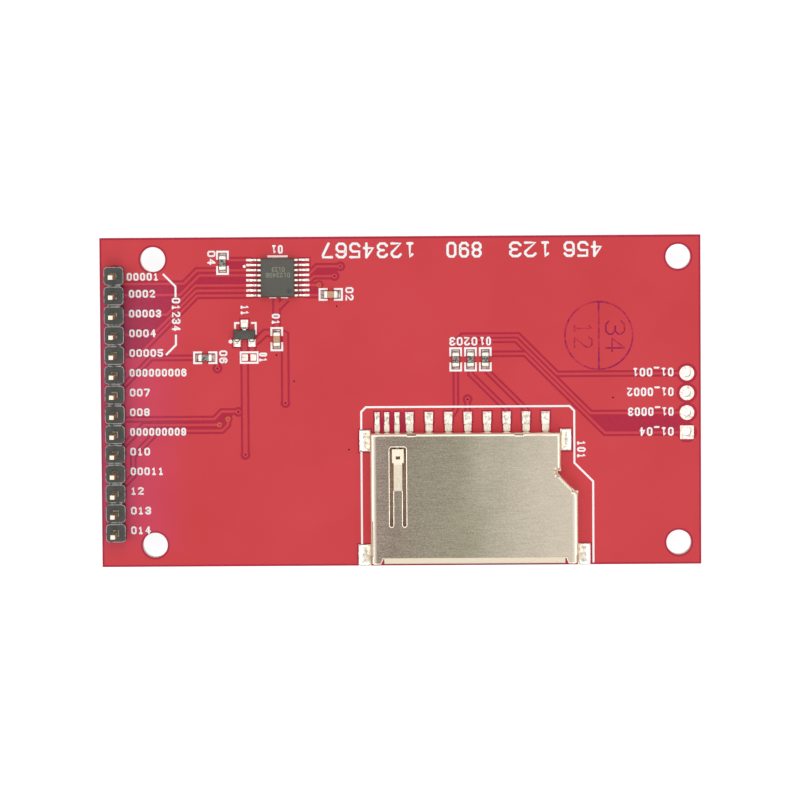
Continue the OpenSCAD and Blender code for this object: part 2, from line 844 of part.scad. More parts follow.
// Bent lead, rooted in a body that ends at x: level, then a step down to a foot that ends at reach
module gull_lead(x, reach, level, foot, height, w) {
    t = chip_lead_t;
    across(w)
        strip([[x - lead_root, height], [x + level, height], [reach - foot, t / 2],
               [reach, t / 2]], t);
}

// Slot in a body's side that ends at x, for one lead of width w
module lead_slot(x, height, w) {
    translate([x - lead_root, -w / 2, height - chip_lead_t / 2])
        cube([1, w, chip_lead_t]);
}

module touch_chip() {
    color("#57584f")
        translate([chip_at.x, chip_at.y, pad_z])
            difference() {
                moulded_block([chip_w, chip_l], chip_standoff, chip_h);
                translate([chip_w / 2 - 0.65, -chip_l / 2 + 0.7, chip_h - 0.05])
                    cylinder(h = 1, r = 0.26);
                for (row = [1:lead_rows], side = [0, 180])
                    translate([0, lead_y(row) - chip_at.y, 0])
                        rotate(side)
                            lead_slot(chip_w / 2, (chip_standoff + chip_h) / 2, lead_w);
            }
}

module touch_chip_leads() {
    color("#d4d4cc")
        for (row = [1:lead_rows], side = [0, 180])
            translate([chip_at.x, lead_y(row), pad_z])
                rotate(side)
                    gull_lead(chip_w / 2, lead_span / 2, 0.32, 0.5, (chip_standoff + chip_h) / 2,
                              lead_w);
}

regulator_lead_w = 0.42;
// Place along the body and turn of each lead
regulator_lead_at = [[0, 90], [-regulator_lead_x, -90], [regulator_lead_x, -90]];
regulator_mid = (chip_standoff + regulator_h) / 2;
module regulator() {
    color("#4b4a43")
        translate([regulator_at.x, regulator_at.y, pad_z])
            difference() {
                moulded_block([regulator_l, regulator_w], chip_standoff, regulator_h);
                for (place = regulator_lead_at)
                    translate([place[0], 0, 0])
                        rotate(place[1])
                            lead_slot(regulator_w / 2, regulator_mid, regulator_lead_w);
            }
}

module regulator_leads() {
    color("#d4d4cc")
        for (place = regulator_lead_at)
            translate([regulator_at.x + place[0], regulator_at.y, pad_z])
                rotate(place[1])
                    gull_lead(regulator_w / 2, regulator_span / 2, 0.08, 0.3, regulator_mid,
                              regulator_lead_w);
}

end_wall = 0.04;
// Ceramic body between and inside the two metal ends
module part_body(place, turn, h, tint) {
    color(tint)
        translate([place.x, place.y, pad_z])
            rotate(turn) {
                translate([-chip_part_l / 2 + cap_end_l, -chip_part_w / 2, 0])
                    cube([chip_part_l - 2 * cap_end_l, chip_part_w, h]);
                translate([-chip_part_l / 2 + end_wall, -chip_part_w / 2 + end_wall, end_wall])
                    cube([chip_part_l - 2 * end_wall, chip_part_w - 2 * end_wall, h - 2 * end_wall]);
            }
}

// Two plated caps, each closed on five sides round the body
module part_ends(place, turn, h) {
    color("#dcdcd2")
        translate([place.x, place.y, pad_z])
            rotate(turn)
                for (side = [0, 180])
                    rotate(side)
                        difference() {
                            translate([chip_part_l / 2 - cap_end_l, -chip_part_w / 2, 0])
                                cube([cap_end_l, chip_part_w, h]);
                            translate([0, -chip_part_w / 2 + end_wall, end_wall])
                                cube([chip_part_l / 2 - end_wall, chip_part_w - 2 * end_wall,
                                      h - 2 * end_wall]);
                        }
}

resistor_tint = "#55564e";
capacitor_tint = "#c0a080";
module resistor_1() { part_body(resistor_1_at, upright, resistor_h, resistor_tint); }
module resistor_1_ends() { part_ends(resistor_1_at, upright, resistor_h); }
module resistor_2() { part_body(resistor_2_at, upright, resistor_h, resistor_tint); }
module resistor_2_ends() { part_ends(resistor_2_at, upright, resistor_h); }
module resistor_3() { part_body(resistor_3_at, upright, resistor_h, resistor_tint); }
module resistor_3_ends() { part_ends(resistor_3_at, upright, resistor_h); }
module resistor_4() { part_body(resistor_4_at, upright, resistor_h, resistor_tint); }
module resistor_4_ends() { part_ends(resistor_4_at, upright, resistor_h); }
module resistor_6() { part_body(resistor_6_at, 0, resistor_h, resistor_tint); }
module resistor_6_ends() { part_ends(resistor_6_at, 0, resistor_h); }
module capacitor_1() { part_body(capacitor_1_at, upright, capacitor_h, capacitor_tint); }
module capacitor_1_ends() { part_ends(capacitor_1_at, upright, capacitor_h); }
module capacitor_2() { part_body(capacitor_2_at, 0, capacitor_h, capacitor_tint); }
module capacitor_2_ends() { part_ends(capacitor_2_at, 0, capacitor_h); }

// ---- Card socket ----

mouth_y = -shell_d - lip_d;
shell_outline = [
    [0, mouth_y], [shell_w, mouth_y], [shell_w, notch_y[1]], [shell_w - notch_step, notch_y[1]],
    [shell_rear_w - notch_step, notch_y[0] - 0.3], [shell_rear_w - notch_step, notch_y[0]],
    [shell_rear_w, notch_y[0]], [shell_rear_w, 0], [0, 0]
];
// The same outline with its front edge moved past the slot, so that the slot stays open
function open_front(p) = [for (q = p) q.y < mouth_y + 1 ? [q.x, mouth_y - 1] : q];

// Takes the sharp edge off a block along a to b, with the block on the left, at height z
module bend_cutter(a, b, z, r) {
    run = b - a;
    translate([a.x, a.y, z])
        rotate(atan2(run.y, run.x))
            rotate([90, 0, 90])
                translate([0, 0, -r])
                    linear_extrude(norm(run) + 2 * r)
                        difference() {
                            translate([-r, -r])
                                square(2 * r);
                            translate([r, -r])
                                circle(r);
                            translate([r, -2 * r])
                                square([r, 3 * r]);
                        }
}

tongue_x = [2.42, 4.67];
tongue_y = [-12.05, -1.7];
tongue_w = 1.1;
tongue_bend_y = -7.4;
tongue_head_y = [-4.05, -2];
tongue_drop = 0.75;
opening_r = 0.35;
slot_w = (tongue_x[1] - tongue_x[0] - tongue_w) / 2;

module tongue_opening() {
    translate([tongue_x[0], tongue_bend_y])
        square([tongue_x[1] - tongue_x[0], tongue_y[1] - tongue_bend_y - opening_r]);
    translate([tongue_x[0] + opening_r, tongue_y[1] - opening_r])
        square([tongue_x[1] - tongue_x[0] - 2 * opening_r, opening_r]);
    for (x = [tongue_x[0] + opening_r, tongue_x[1] - opening_r])
        translate([x, tongue_y[1] - opening_r])
            circle(opening_r);
    for (x = [tongue_x[0], tongue_x[1] - slot_w]) {
        translate([x, tongue_y[0] + slot_w / 2])
            square([slot_w, tongue_bend_y - tongue_y[0]]);
        translate([x + slot_w / 2, tongue_y[0] + slot_w / 2])
            circle(slot_w / 2);
    }
}

// The spring tongue dips towards the card and turns up again at its head
module tongue() {
    z = shell_h - sheet_t / 2;
    head_w = 1.5;
    head_rise = 0.5;
    x = (tongue_x[0] + tongue_x[1]) / 2;
    dip = [tongue_head_y[0], z - tongue_drop];
    tip = [tongue_head_y[1], z - tongue_drop + head_rise];
    along(x - tongue_w / 2, tongue_w)
        strip([[tongue_bend_y - 0.5, z], [tongue_bend_y, z], dip, tip], sheet_t);
    difference() {
        along(x - head_w / 2, head_w)
            strip([dip + (tip - dip) * 0.12, tip], sheet_t);
        translate([x - 0.28, (tongue_head_y[0] + tongue_head_y[1]) / 2 - 0.15, 0])
            cube([0.56, 0.5, shell_h + 1]);
    }
}

// Flared lip along the slot's upper edge, between two relief cuts that widen to the front
lip_x = [1.75, shell_w - 1.7];
relief_w = [0.2, 0.45];
module slot_lip() {
    z = shell_h - sheet_t / 2;
    lip_rise = 0.3;
    along(lip_x[0], lip_x[1] - lip_x[0])
        strip([[-shell_d + 0.4, z], [-shell_d, z], [mouth_y + 0.05, z + lip_rise]], sheet_t);
}

module lip_relief() {
    polygon([
        [lip_x[0] - relief_w[0], -shell_d], [lip_x[0] - relief_w[1], mouth_y],
        [lip_x[0] - relief_w[1], mouth_y - 1], [lip_x[1] + relief_w[1], mouth_y - 1],
        [lip_x[1] + relief_w[1], mouth_y], [lip_x[1] + relief_w[0], -shell_d]
    ]);
}

module shell_feet() {
    for (foot = feet)
        translate([foot[1] - (foot[0] > 0 ? sheet_t : foot[3]), foot[2] - foot_l / 2, 0])
            cube([foot[3] + sheet_t, foot_l, foot_t]);
}

rear_flap = 1.5;
slit_x = 0.24;
slit_w = 0.16;
slit_l = 4.6;
module socket_shell() {
    color("#b5ae9c")
        translate([socket_x, socket_rear, pad_z]) {
            difference() {
                linear_extrude(shell_h)
                    polygon(shell_outline);
                translate([0, 0, -1])
                    linear_extrude(shell_h - sheet_t + 1)
                        polygon(open_front(inset(shell_outline, sheet_t)));
                // Every bend but the one over the slot
                for (i = [1:len(shell_outline) - 1])
                    bend_cutter(shell_outline[i], shell_outline[(i + 1) % len(shell_outline)],
                                shell_h, bend_r);
                translate([0, 0, shell_h - 2 * sheet_t])
                    linear_extrude(1)
                        tongue_opening();
                translate([0, 0, shell_h - 2 * sheet_t])
                    linear_extrude(1)
                        lip_relief();
                // The rear flap ends over the contacts
                translate([sheet_t, -2 * sheet_t, -1])
                    cube([shell_rear_w - 2 * sheet_t, 1, shell_h - rear_flap + 1]);
                // Catches in the rear bend
                for (x = [4.75, 18.5])
                    translate([x, -0.4, shell_h - 0.5])
                        cube([1.15, 1, 1]);
                // Slit beside the card's write-lock edge
                translate([slit_x, -shell_d + slit_w, shell_h - 2 * sheet_t])
                    cube([slit_w, slit_l, 1]);
            }
            tongue();
            slot_lip();
            shell_feet();
        }
}

base_gap = 0.05;
floor_t = 0.45;
rear_wall = 1.4;
floor_end = -8.8;
side_floor_w = 4.2;
contact_t = 0.15;
contact_run = rear_wall + 1.5;
groove_w = contact_w + 0.3;
rail_w = (shell_w - 2 * sheet_t - 2 * base_gap - card_w) / 2 - 0.05;
module socket_base() {
    side = sheet_t + base_gap;
    low_x = side + rail_w;
    high_x = shell_w - side - rail_w;
    color("#2d2b28")
        translate([socket_x, socket_rear, pad_z])
            difference() {
                linear_extrude(shell_h - sheet_t - base_gap)
                    polygon(inset(shell_outline, side));
                // Room for the card, with its cut corner
                translate([0, 0, floor_t])
                    linear_extrude(shell_h)
                        polygon([
                            [low_x, mouth_y - 1], [high_x, mouth_y - 1], [high_x, notch_y[1] - 0.4],
                            [shell_rear_w - 1.4, notch_y[0] - 0.5],
                            [shell_rear_w - 1.4, -rear_wall - side], [low_x, -rear_wall - side]
                        ]);
                // The floor stops behind the card's contact edge, but for a strip under the tongue
                translate([low_x + side_floor_w, mouth_y - 1, -1])
                    cube([high_x - low_x - side_floor_w, floor_end - mouth_y + 1, shell_h]);
                for (x = concat(contact_x, [ninth_contact_x])) {
                    translate([x - groove_w / 2, floor_end - 1, -1])
                        cube([groove_w, -floor_end + 1 - rear_wall - side, shell_h]);
                    contact_slot(x, contact_w);
                }
                for (x = detect_x)
                    contact_slot(x, detect_w);
            }
}

// Slot under the rear wall that a contact of width w lies in
module contact_slot(x, w) {
    translate([x - w / 2, -contact_run, -1])
        cube([w, contact_run + 1, 1 + contact_t]);
}

arm_root_y = -3.2;
arm_crest = [-7.2, 1];
arm_tip = [-7.9, 0.85];
// Flat tail on its pad, level run under the base, and a sprung arm that rises to the card
module card_contact(x, w) {
    along(x - w / 2, w)
        strip([[contact_pad_y, contact_t / 2], [arm_root_y, contact_t / 2], arm_crest, arm_tip],
              contact_t);
}

module card_contacts() {
    color("#d2c79c")
        translate([socket_x, socket_rear, pad_z]) {
            for (x = contact_x)
                card_contact(x, contact_w);
            card_contact(ninth_contact_x, contact_w - 0.1);
        }
}

module detect_contacts() {
    color("#d2c79c")
        translate([socket_x, socket_rear, pad_z])
            for (x = detect_x)
                translate([x - detect_w / 2, -contact_run, 0])
                    cube([detect_w, contact_run + contact_pad_y, contact_t]);
}

// ---- Display panel, from the touch face up ----

touch_size = [panel_l - 2 * touch_inset, panel_w - 2 * touch_inset];
touch_x0 = panel_x0 + touch_inset;

// Rim of one width, open inside
module rim(x0, size, border, z, t) {
    difference() {
        plate(x0, size, z, t);
        plate(x0 + border, size - 2 * [border, border], z - 1, t + 2);
    }
}

module touch_film() {
    color("#3a4044")
        plate(touch_x0, touch_size, 0, film_t);
}

module touch_spacer() {
    color("#e8e8e0")
        difference() {
            rim(touch_x0, touch_size, tape_border, spacer_z, spacer_t);
            plate(touch_x0 - 1, [tape_border + 2, tail_w], spacer_z - 1, 2);
        }
}

module touch_glass() {
    color("#bcd0cc")
        plate(touch_x0, touch_size, touch_glass_z, touch_glass_t);
}

// Tail from between film and glass, bent back to the display flex
module touch_tail() {
    reach = tail_r * sin(tail_sweep);
    first = arc([tail_turn_x, tail_z + tail_r], tail_r, -90, -90 - tail_sweep, 6);
    second = arc([tail_turn_x - 2 * reach, tail_rest_z - tail_r], tail_r, 90 - tail_sweep, 90, 6);
    color("#c98a3c")
        across(tail_w)
            strip(concat([[touch_x0 + tape_border, tail_z]], first,
                         [for (i = [1:len(second) - 1]) second[i]],
                         [[tail_turn_x - 2 * reach - tail_foot, tail_rest_z]]), spacer_t);
}

module panel_tape() {
    color("#2a2a2c")
        rim(touch_x0, touch_size, tape_border, tape_z, tape_t);
}

filter_x0 = cell_x0 + ledge_l;
filter_size = cell - [ledge_l, 0];
module upper_polariser() {
    color("#30363a")
        plate(filter_x0, filter_size, frame_z, polariser_t);
}

module filter_glass() {
    color("#c6d6d2")
        plate(filter_x0, filter_size, filter_z, cell_glass_t);
}

module array_glass() {
    color("#c6d6d2")
        plate(cell_x0, cell, array_z, cell_glass_t);
}

driver_size = [1.1, 18, 0.3];
module driver_chip() {
    color("#3c3c40")
        plate(cell_x0 + bond_l + 0.8, [driver_size.x, driver_size.y], array_z - driver_size.z,
              driver_size.z);
}

// Flex bonded to the glass ledge, folded back under the panel and soldered to the board
module display_flex() {
    r = (flex_return_z - flex_z) / 2;
    bend = arc([flex_turn_x, flex_z + r], r, -90, -270, 12);
    color("#c98a3c") {
        across(flex_w)
            strip(concat([[cell_x0 + bond_l, flex_z]], bend, [[flex_pad_x + flex_pad_l / 2 + 0.4,
                                                            flex_return_z]]), flex_t);
        plate(panel_x0 - 0.6, [cell_x0 + bond_l - panel_x0 + 0.6, flex_shoulder_w],
              flex_z - flex_t / 2, flex_t);
    }
}

module lower_polariser() {
    color("#30363a")
        plate(filter_x0, filter_size, lower_polariser_z, polariser_t);
}

module shading_rim() {
    color("#26262a")
        rim(cell_x0, cell, rim_border, rim_z, rim_t);
}

lit_x0 = sheet_x0 + led_room;
lit_size = sheet - [led_room, 0];
module prism_film() {
    color("#e6ecec")
        plate(lit_x0, lit_size, prism_z, light_film_t);
}

module diffuser_film() {
    color("#f2f2ee")
        plate(lit_x0, lit_size, diffuser_z, light_film_t);
}

module light_guide() {
    color("#e4eef0")
        plate(lit_x0, lit_size, guide_z, guide_t);
}

module reflector() {
    color("#dfe3e6")
        plate(sheet_x0, sheet, reflector_z, reflector_t);
}

led_size = [1.2, 3];
module leds() {
    color("#f4f0d8")
        for (i = [0:led_count - 1])
            translate([lit_x0 - led_size.x - 0.05, (i + 0.5) * sheet.y / led_count - sheet.y / 2
                       - led_size.y / 2, guide_z])
                cube([led_size.x, led_size.y, guide_t]);
}

module led_flex() {
    color("#c98a3c")
        plate(sheet_x0 + 0.3, [led_room - 0.4, sheet.y - 1], guide_z - flex_t, flex_t);
}

module light_frame() {
    color("#f1f1ec")
        difference() {
            plate(panel_x0, [panel_l, panel_w], frame_z, panel_back_z - frame_z);
            plate(panel_x - pocket.x / 2, pocket, frame_z - 1, prism_z - frame_z + 1);
            plate(panel_x - window.x / 2, window, frame_z, panel_back_z);
            // Way out for the flex over the end wall
            plate(panel_x0 - 1, [frame_wall + 2, flex_shoulder_w + 0.4], frame_z - 1,
                  array_z - frame_z + 1);
        }
}

module foam_tape() {
    foam_l = panel_l - 18;
    color("#f4f4f0")
        plate(panel_x0 + panel_l - foam_l - 1, [foam_l, panel_w - 4], panel_back_z, foam_t);
}

board();
back_copper();
front_copper();
header_rings();
card_rings();
vias();
back_pads();
flex_pads();
legend();
ink_stamp();
header_strip();
header_pins();
header_solder();
touch_chip();
touch_chip_leads();
regulator();
regulator_leads();
resistor_1();
resistor_1_ends();
resistor_2();
resistor_2_ends();
resistor_3();
resistor_3_ends();
resistor_4();
resistor_4_ends();
resistor_6();
resistor_6_ends();
capacitor_1();
capacitor_1_ends();
capacitor_2();
capacitor_2_ends();
socket_shell();
socket_base();
card_contacts();
detect_contacts();
touch_film();
touch_spacer();
touch_glass();
touch_tail();
panel_tape();
upper_polariser();
filter_glass();
array_glass();
driver_chip();
display_flex();
lower_polariser();
shading_rim();
prism_film();
diffuser_film();
light_guide();
reflector();
led_flex();
leds();
light_frame();
foam_tape();
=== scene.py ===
"""Finish of the colour display module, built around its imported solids.

The module lies on its touch face, so the back of its board looks up. Lengths are in metres.
"""
import json
import math

import bmesh
import bpy
from mathutils import Matrix, Vector


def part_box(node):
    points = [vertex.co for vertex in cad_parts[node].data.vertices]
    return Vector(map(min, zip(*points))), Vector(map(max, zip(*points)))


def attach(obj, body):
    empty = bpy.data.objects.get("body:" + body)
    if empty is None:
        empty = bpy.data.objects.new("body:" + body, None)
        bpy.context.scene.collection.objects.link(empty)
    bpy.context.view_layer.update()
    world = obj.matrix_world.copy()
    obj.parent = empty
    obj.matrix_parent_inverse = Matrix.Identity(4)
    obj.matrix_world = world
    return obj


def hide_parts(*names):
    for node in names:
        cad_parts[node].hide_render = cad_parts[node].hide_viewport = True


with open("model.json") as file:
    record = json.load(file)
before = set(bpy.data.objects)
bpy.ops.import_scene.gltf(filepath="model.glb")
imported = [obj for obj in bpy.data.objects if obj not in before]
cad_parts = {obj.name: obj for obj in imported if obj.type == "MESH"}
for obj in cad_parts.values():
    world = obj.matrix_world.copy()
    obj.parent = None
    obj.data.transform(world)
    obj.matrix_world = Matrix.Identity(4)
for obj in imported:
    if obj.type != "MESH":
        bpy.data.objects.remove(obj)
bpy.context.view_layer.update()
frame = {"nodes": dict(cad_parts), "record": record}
nodes = frame["nodes"]
scene = bpy.context.scene

MM = 0.001
# How far apart two corners may lie and still be one, and two places and still be level
MERGE_DISTANCE = 0.0005 * MM
SURFACE_SLACK = 0.01 * MM
# Heights of a face's normal above which it lies level, and below which it stands upright
LEVEL_NORMAL = 0.9
UPRIGHT_NORMAL = 0.1
BOARD_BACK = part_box("board")[1].z
PAD_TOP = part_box("back_pads")[1].z
INK_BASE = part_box("legend")[0].z

# ---- Camera: looks down on the board's back, tilted a few degrees ----

CAMERA_DISTANCE = 600 * MM
CAMERA_CLIP = 10 * MM
CAMERA_LENS = 209.9
CAMERA_SENSOR = 36
CAMERA_TILT = math.radians(3.304)
CAMERA_SWING = math.radians(-0.425)
CAMERA_ROLL = math.radians(0.348)
CAMERA_SIDESTEP = Vector((-0.096 * MM, 0.15 * MM, CAMERA_DISTANCE))


def place_camera():
    data = bpy.data.cameras.new("camera")
    data.lens = CAMERA_LENS
    data.sensor_width = CAMERA_SENSOR
    data.clip_start = CAMERA_CLIP
    camera = bpy.data.objects.new("camera", data)
    scene.collection.objects.link(camera)
    turn = (Matrix.Rotation(CAMERA_ROLL, 4, "Z") @ Matrix.Rotation(CAMERA_SWING, 4, "Y")
            @ Matrix.Rotation(CAMERA_TILT, 4, "X")).transposed()
    camera.matrix_world = (Matrix.Translation((0, 0, BOARD_BACK)) @ turn
                           @ Matrix.Translation(CAMERA_SIDESTEP))
    scene.camera = camera


# ---- Materials ----
# Fillers, crystals and drawing lines that are too fine to show are drawn coarser than they are,
# at 0.05 to 0.2 mm.

def linear(hex_colour):
    """Turns an sRGB hex colour into the linear values that a socket holds."""
    channels = [int(hex_colour[i:i + 2], 16) / 255 for i in (1, 3, 5)]
    return [c / 12.92 if c <= 0.04045 else ((c + 0.055) / 1.055) ** 2.4 for c in channels] + [1.0]


def add_node(tree, kind, links=None, **settings):
    """Adds a node. A link's key is an input's name or number, its value a socket or a plain value."""
    node = tree.nodes.new("ShaderNode" + kind)
    for name, value in settings.items():
        setattr(node, name, value)
    for key, value in (links or {}).items():
        if isinstance(value, bpy.types.NodeSocket):
            tree.links.new(value, node.inputs[key])
        else:
            node.inputs[key].default_value = value
    return node


def new_material(name, colour, roughness, metallic=0.0, others=None):
    """A material with its plain values on the shader. Returns it, its node tree and the shader."""
    material = bpy.data.materials.new(name)
    material.use_nodes = True
    tree = material.node_tree
    shader = tree.nodes["Principled BSDF"]
    shader.inputs["Base Color"].default_value = linear(colour)
    shader.inputs["Roughness"].default_value = roughness
    shader.inputs["Metallic"].default_value = metallic
    for key, value in (others or {}).items():
        shader.inputs[key].default_value = value
    return material, tree, shader


# A Mix node has a set of sockets for each kind of value
NUMBER_A = 2
NUMBER_B = 3
COLOUR_A = 6
COLOUR_B = 7
COLOUR_OUT = 2


def paint(tree, shader, colour, over=None, where=None):
    """Links the shader's colour. Another one covers it as the mask where goes from 0 to 1."""
    if where:
        mix = add_node(tree, "Mix", {"Factor": where, COLOUR_A: colour, COLOUR_B: over},
                       data_type="RGBA")
        colour = mix.outputs[COLOUR_OUT]
    tree.links.new(colour, shader.inputs["Base Color"])


def grain(tree, size, stretch=(1, 1, 1), detail=2.0):
    """Noise whose lumps measure about size, in metres; stretch draws them out along an axis."""
    place = add_node(tree, "TexCoord").outputs["Object"]
    scaled = add_node(tree, "Mapping", {"Vector": place, "Scale": [1 / s for s in stretch]})
    noise = add_node(tree, "TexNoise", {"Vector": scaled.outputs[0], "Scale": 1 / size,
                                        "Detail": detail})
    return noise.outputs["Fac"]


def shade_between(tree, factor, low, high, start=0.3, end=0.7):
    """Colour that runs from low to high as the factor goes from start to end."""
    ramp = add_node(tree, "ValToRGB", {"Fac": factor})
    ramp.color_ramp.elements[0].position = start
    ramp.color_ramp.elements[0].color = linear(low)
    ramp.color_ramp.elements[1].position = end
    ramp.color_ramp.elements[1].color = linear(high)
    return ramp.outputs["Color"]


def shade_by_stops(tree, factor, stops):
    """Colour that passes through each (place, colour) stop as the factor grows."""
    ramp = add_node(tree, "ValToRGB", {"Fac": factor})
    elements = ramp.color_ramp.elements
    while len(elements) < len(stops):
        elements.new(1.0)
    for element, (place, colour) in zip(elements, stops):
        element.position = place
        element.color = linear(colour)
    return ramp.outputs["Color"]


def roughen(tree, shader, height, strength, depth):
    """Fine relief of the given depth in metres."""
    bump = add_node(tree, "Bump", {"Height": height, "Strength": strength, "Distance": depth})
    tree.links.new(bump.outputs["Normal"], shader.inputs["Normal"])


def place_along(tree, axis, start, end):
    """0 at start and 1 at end along one of the object's axes."""
    place = add_node(tree, "TexCoord").outputs["Object"]
    parts = add_node(tree, "SeparateXYZ", {0: place})
    span = add_node(tree, "MapRange", {"Value": parts.outputs[axis], "From Min": start,
                                       "From Max": end})
    return span.outputs["Result"]


def steepness(tree, level, steep):
    """0 on faces that lie level and 1 on steep ones; level and steep are heights of the normal."""
    normal = add_node(tree, "NewGeometry").outputs["Normal"]
    parts = add_node(tree, "SeparateXYZ", {0: normal})
    height = add_node(tree, "Math", {0: parts.outputs["Z"]}, operation="ABSOLUTE")
    span = add_node(tree, "MapRange", {"Value": height.outputs[0], "From Min": level,
                                       "From Max": steep})
    return span.outputs["Result"]


# Least height of the normal of a face that looks up or down; a tapered tip counts as one
FACING_NORMAL = 0.7


def facing_up(tree):
    """1 on faces that look up or down, 0 on the cut edges."""
    normal = add_node(tree, "NewGeometry").outputs["True Normal"]
    parts = add_node(tree, "SeparateXYZ", {0: normal})
    height = add_node(tree, "Math", {0: parts.outputs["Z"]}, operation="ABSOLUTE")
    level = add_node(tree, "Math", {0: height.outputs[0], 1: FACING_NORMAL},
                     operation="GREATER_THAN")
    return level.outputs[0]


# The resist is pinker beside the header. That fades away from it along X, and towards the
# board's corners along Y.
HEADER_TINT_START = -36 * MM
HEADER_TINT_END = -27 * MM
TINT_CORNERS = ((11 * MM, 17 * MM), (-13 * MM, -20 * MM))


def away_from_header(tree):
    """0 beside the middle of the pin header, and 1 away from it and at the board's corners."""
    along = place_along(tree, "X", HEADER_TINT_START, HEADER_TINT_END)
    for start, end in TINT_CORNERS:
        corner = place_along(tree, "Y", start, end)
        along = add_node(tree, "Math", {0: along, 1: corner}, operation="MAXIMUM").outputs[0]
    return along


def resist_over_copper():
    """Red light-cured epoxy resist on copper foil: satin, warm, and pinker towards the header."""
    material, tree, shader = new_material("resist_over_copper", "#cb4148", 0.38,
                                          others={"Specular IOR Level": 0.3})
    cloud = grain(tree, 9 * MM)
    warm = shade_between(tree, cloud, "#ca353b", "#cf3b43")
    pink = shade_between(tree, cloud, "#cf3f62", "#d54468")
    paint(tree, shader, pink, warm, away_from_header(tree))
    roughen(tree, shader, grain(tree, 0.25 * MM), 0.15, 0.01 * MM)
    return material


def resist_over_laminate():
    """The same resist on bare glass-epoxy laminate: darker, and the sawn edge is pale and layered."""
    material, tree, shader = new_material("resist_over_laminate", "#b01f40", 0.4,
                                          others={"Specular IOR Level": 0.3})
    weave = grain(tree, 0.5 * MM, detail=1.0)
    far = shade_between(tree, weave, "#ac0d35", "#b2143b")
    near = shade_between(tree, weave, "#aa2f53", "#b03459")
    face = add_node(tree, "Mix", {"Factor": away_from_header(tree), COLOUR_A: near,
                                  COLOUR_B: far}, data_type="RGBA")
    layers = grain(tree, 0.12 * MM, (8, 8, 1), 1.0)
    edge = shade_between(tree, layers, "#ddd0b4", "#e9dfc6")
    paint(tree, shader, edge, face.outputs[COLOUR_OUT], facing_up(tree))
    roughen(tree, shader, weave, 0.2, 0.01 * MM)
    return material


def levelled_solder():
    """Hot-air-levelled solder on copper: silvery, with a soft mottle where it froze."""
    material, tree, shader = new_material("levelled_solder", "#efece4", 0.32, 0.9)
    mottle = grain(tree, 0.35 * MM, detail=3.0)
    paint(tree, shader, shade_between(tree, mottle, "#bfb3a4", "#f0e5d8", 0.34, 0.5))
    roughen(tree, shader, mottle, 0.4, 0.03 * MM)
    return material


def wetted_solder():
    """Reflowed solder: bright and lumpy on its crown, and darker on its slopes as painted shade."""
    material, tree, shader = new_material("wetted_solder", "#f4f1ea", 0.22, 0.9)
    lumps = grain(tree, 0.4 * MM, detail=3.0)
    crown = shade_between(tree, lumps, "#b9b2a5", "#ebe6da", 0.36, 0.58)
    shaded_slope = shade_between(tree, lumps, "#6f675b", "#b9b1a2", 0.36, 0.54)
    # Painted shade: slopes are coloured darker than the crown
    paint(tree, shader, crown, shaded_slope, steepness(tree, 0.95, 0.7))
    roughen(tree, shader, lumps, 0.6, 0.05 * MM)
    return material


def flux_dulled_solder():
    """Solder drawn along a contact's tail, left grey and speckled by flux, and darker on its slopes
    as painted shade.
    """
    material, tree, shader = new_material("flux_dulled_solder", "#d6cec1", 0.3, 0.9)
    lumps = grain(tree, 0.4 * MM, detail=4.0)
    crown = shade_between(tree, lumps, "#a69e91", "#e4dcd0", 0.36, 0.6)
    shaded_slope = shade_between(tree, lumps, "#6a6257", "#b5ac9e", 0.38, 0.56)
    # Painted shade: slopes are coloured darker than the crown
    paint(tree, shader, crown, shaded_slope, steepness(tree, 0.95, 0.7))
    roughen(tree, shader, lumps, 0.6, 0.05 * MM)
    return material


def plated_copper():
    """Copper plating at a via, seen at the edge of the resist: warm orange metal."""
    material, tree, shader = new_material("plated_copper", "#c8643c", 0.4, 0.6)
    paint(tree, shader, shade_between(tree, grain(tree, 0.2 * MM), "#a8432f", "#cc5c2e"))
    return material


def legend_ink():
    """Screen-printed white epoxy ink: matt, and slightly uneven where the mesh let it through."""
    material, tree, shader = new_material("legend_ink", "#fbf5f4", 0.6)
    mesh = grain(tree, 0.12 * MM, detail=1.0)
    paint(tree, shader, shade_between(tree, mesh, "#fdf6f6", "#ffffff"))
    roughen(tree, shader, mesh, 0.2, 0.01 * MM)
    return material


def stamp_ink():
    """Thin rubber-stamp ink: dull red-violet, worn through to the resist in places."""
    material, tree, shader = new_material("stamp_ink", "#8c1a4c", 0.7,
                                          others={"Specular IOR Level": 0.1})
    worn = add_node(tree, "Mix", {"Factor": 0.5, NUMBER_A: grain(tree, 0.5 * MM, detail=3.0),
                                  NUMBER_B: grain(tree, 4 * MM)})
    paint(tree, shader, shade_between(tree, worn.outputs[0], "#c93a48", "#93205a", 0.42, 0.54))
    return material


def header_nylon():
    """Black glass-filled nylon, moulded: dark grey with a faint sheen and a pebbled skin."""
    material, tree, shader = new_material("header_nylon", "#383b39", 0.42)
    skin = grain(tree, 0.15 * MM, detail=3.0)
    paint(tree, shader, shade_between(tree, skin, "#282b29", "#373a37"))
    roughen(tree, shader, skin, 0.35, 0.02 * MM)
    return material


def scuffed_nylon():
    """The nylon's moulded edges, coloured pale and matt as a painted highlight, patchy along their
    length.
    """
    material, tree, shader = new_material("scuffed_nylon", "#8c8c88", 0.6)
    # Painted highlight: pale patches along the broken edges
    paint(tree, shader, shade_between(tree, grain(tree, 0.5 * MM), "#4c4e4b", "#c4c4c0", 0.36, 0.5))
    return material


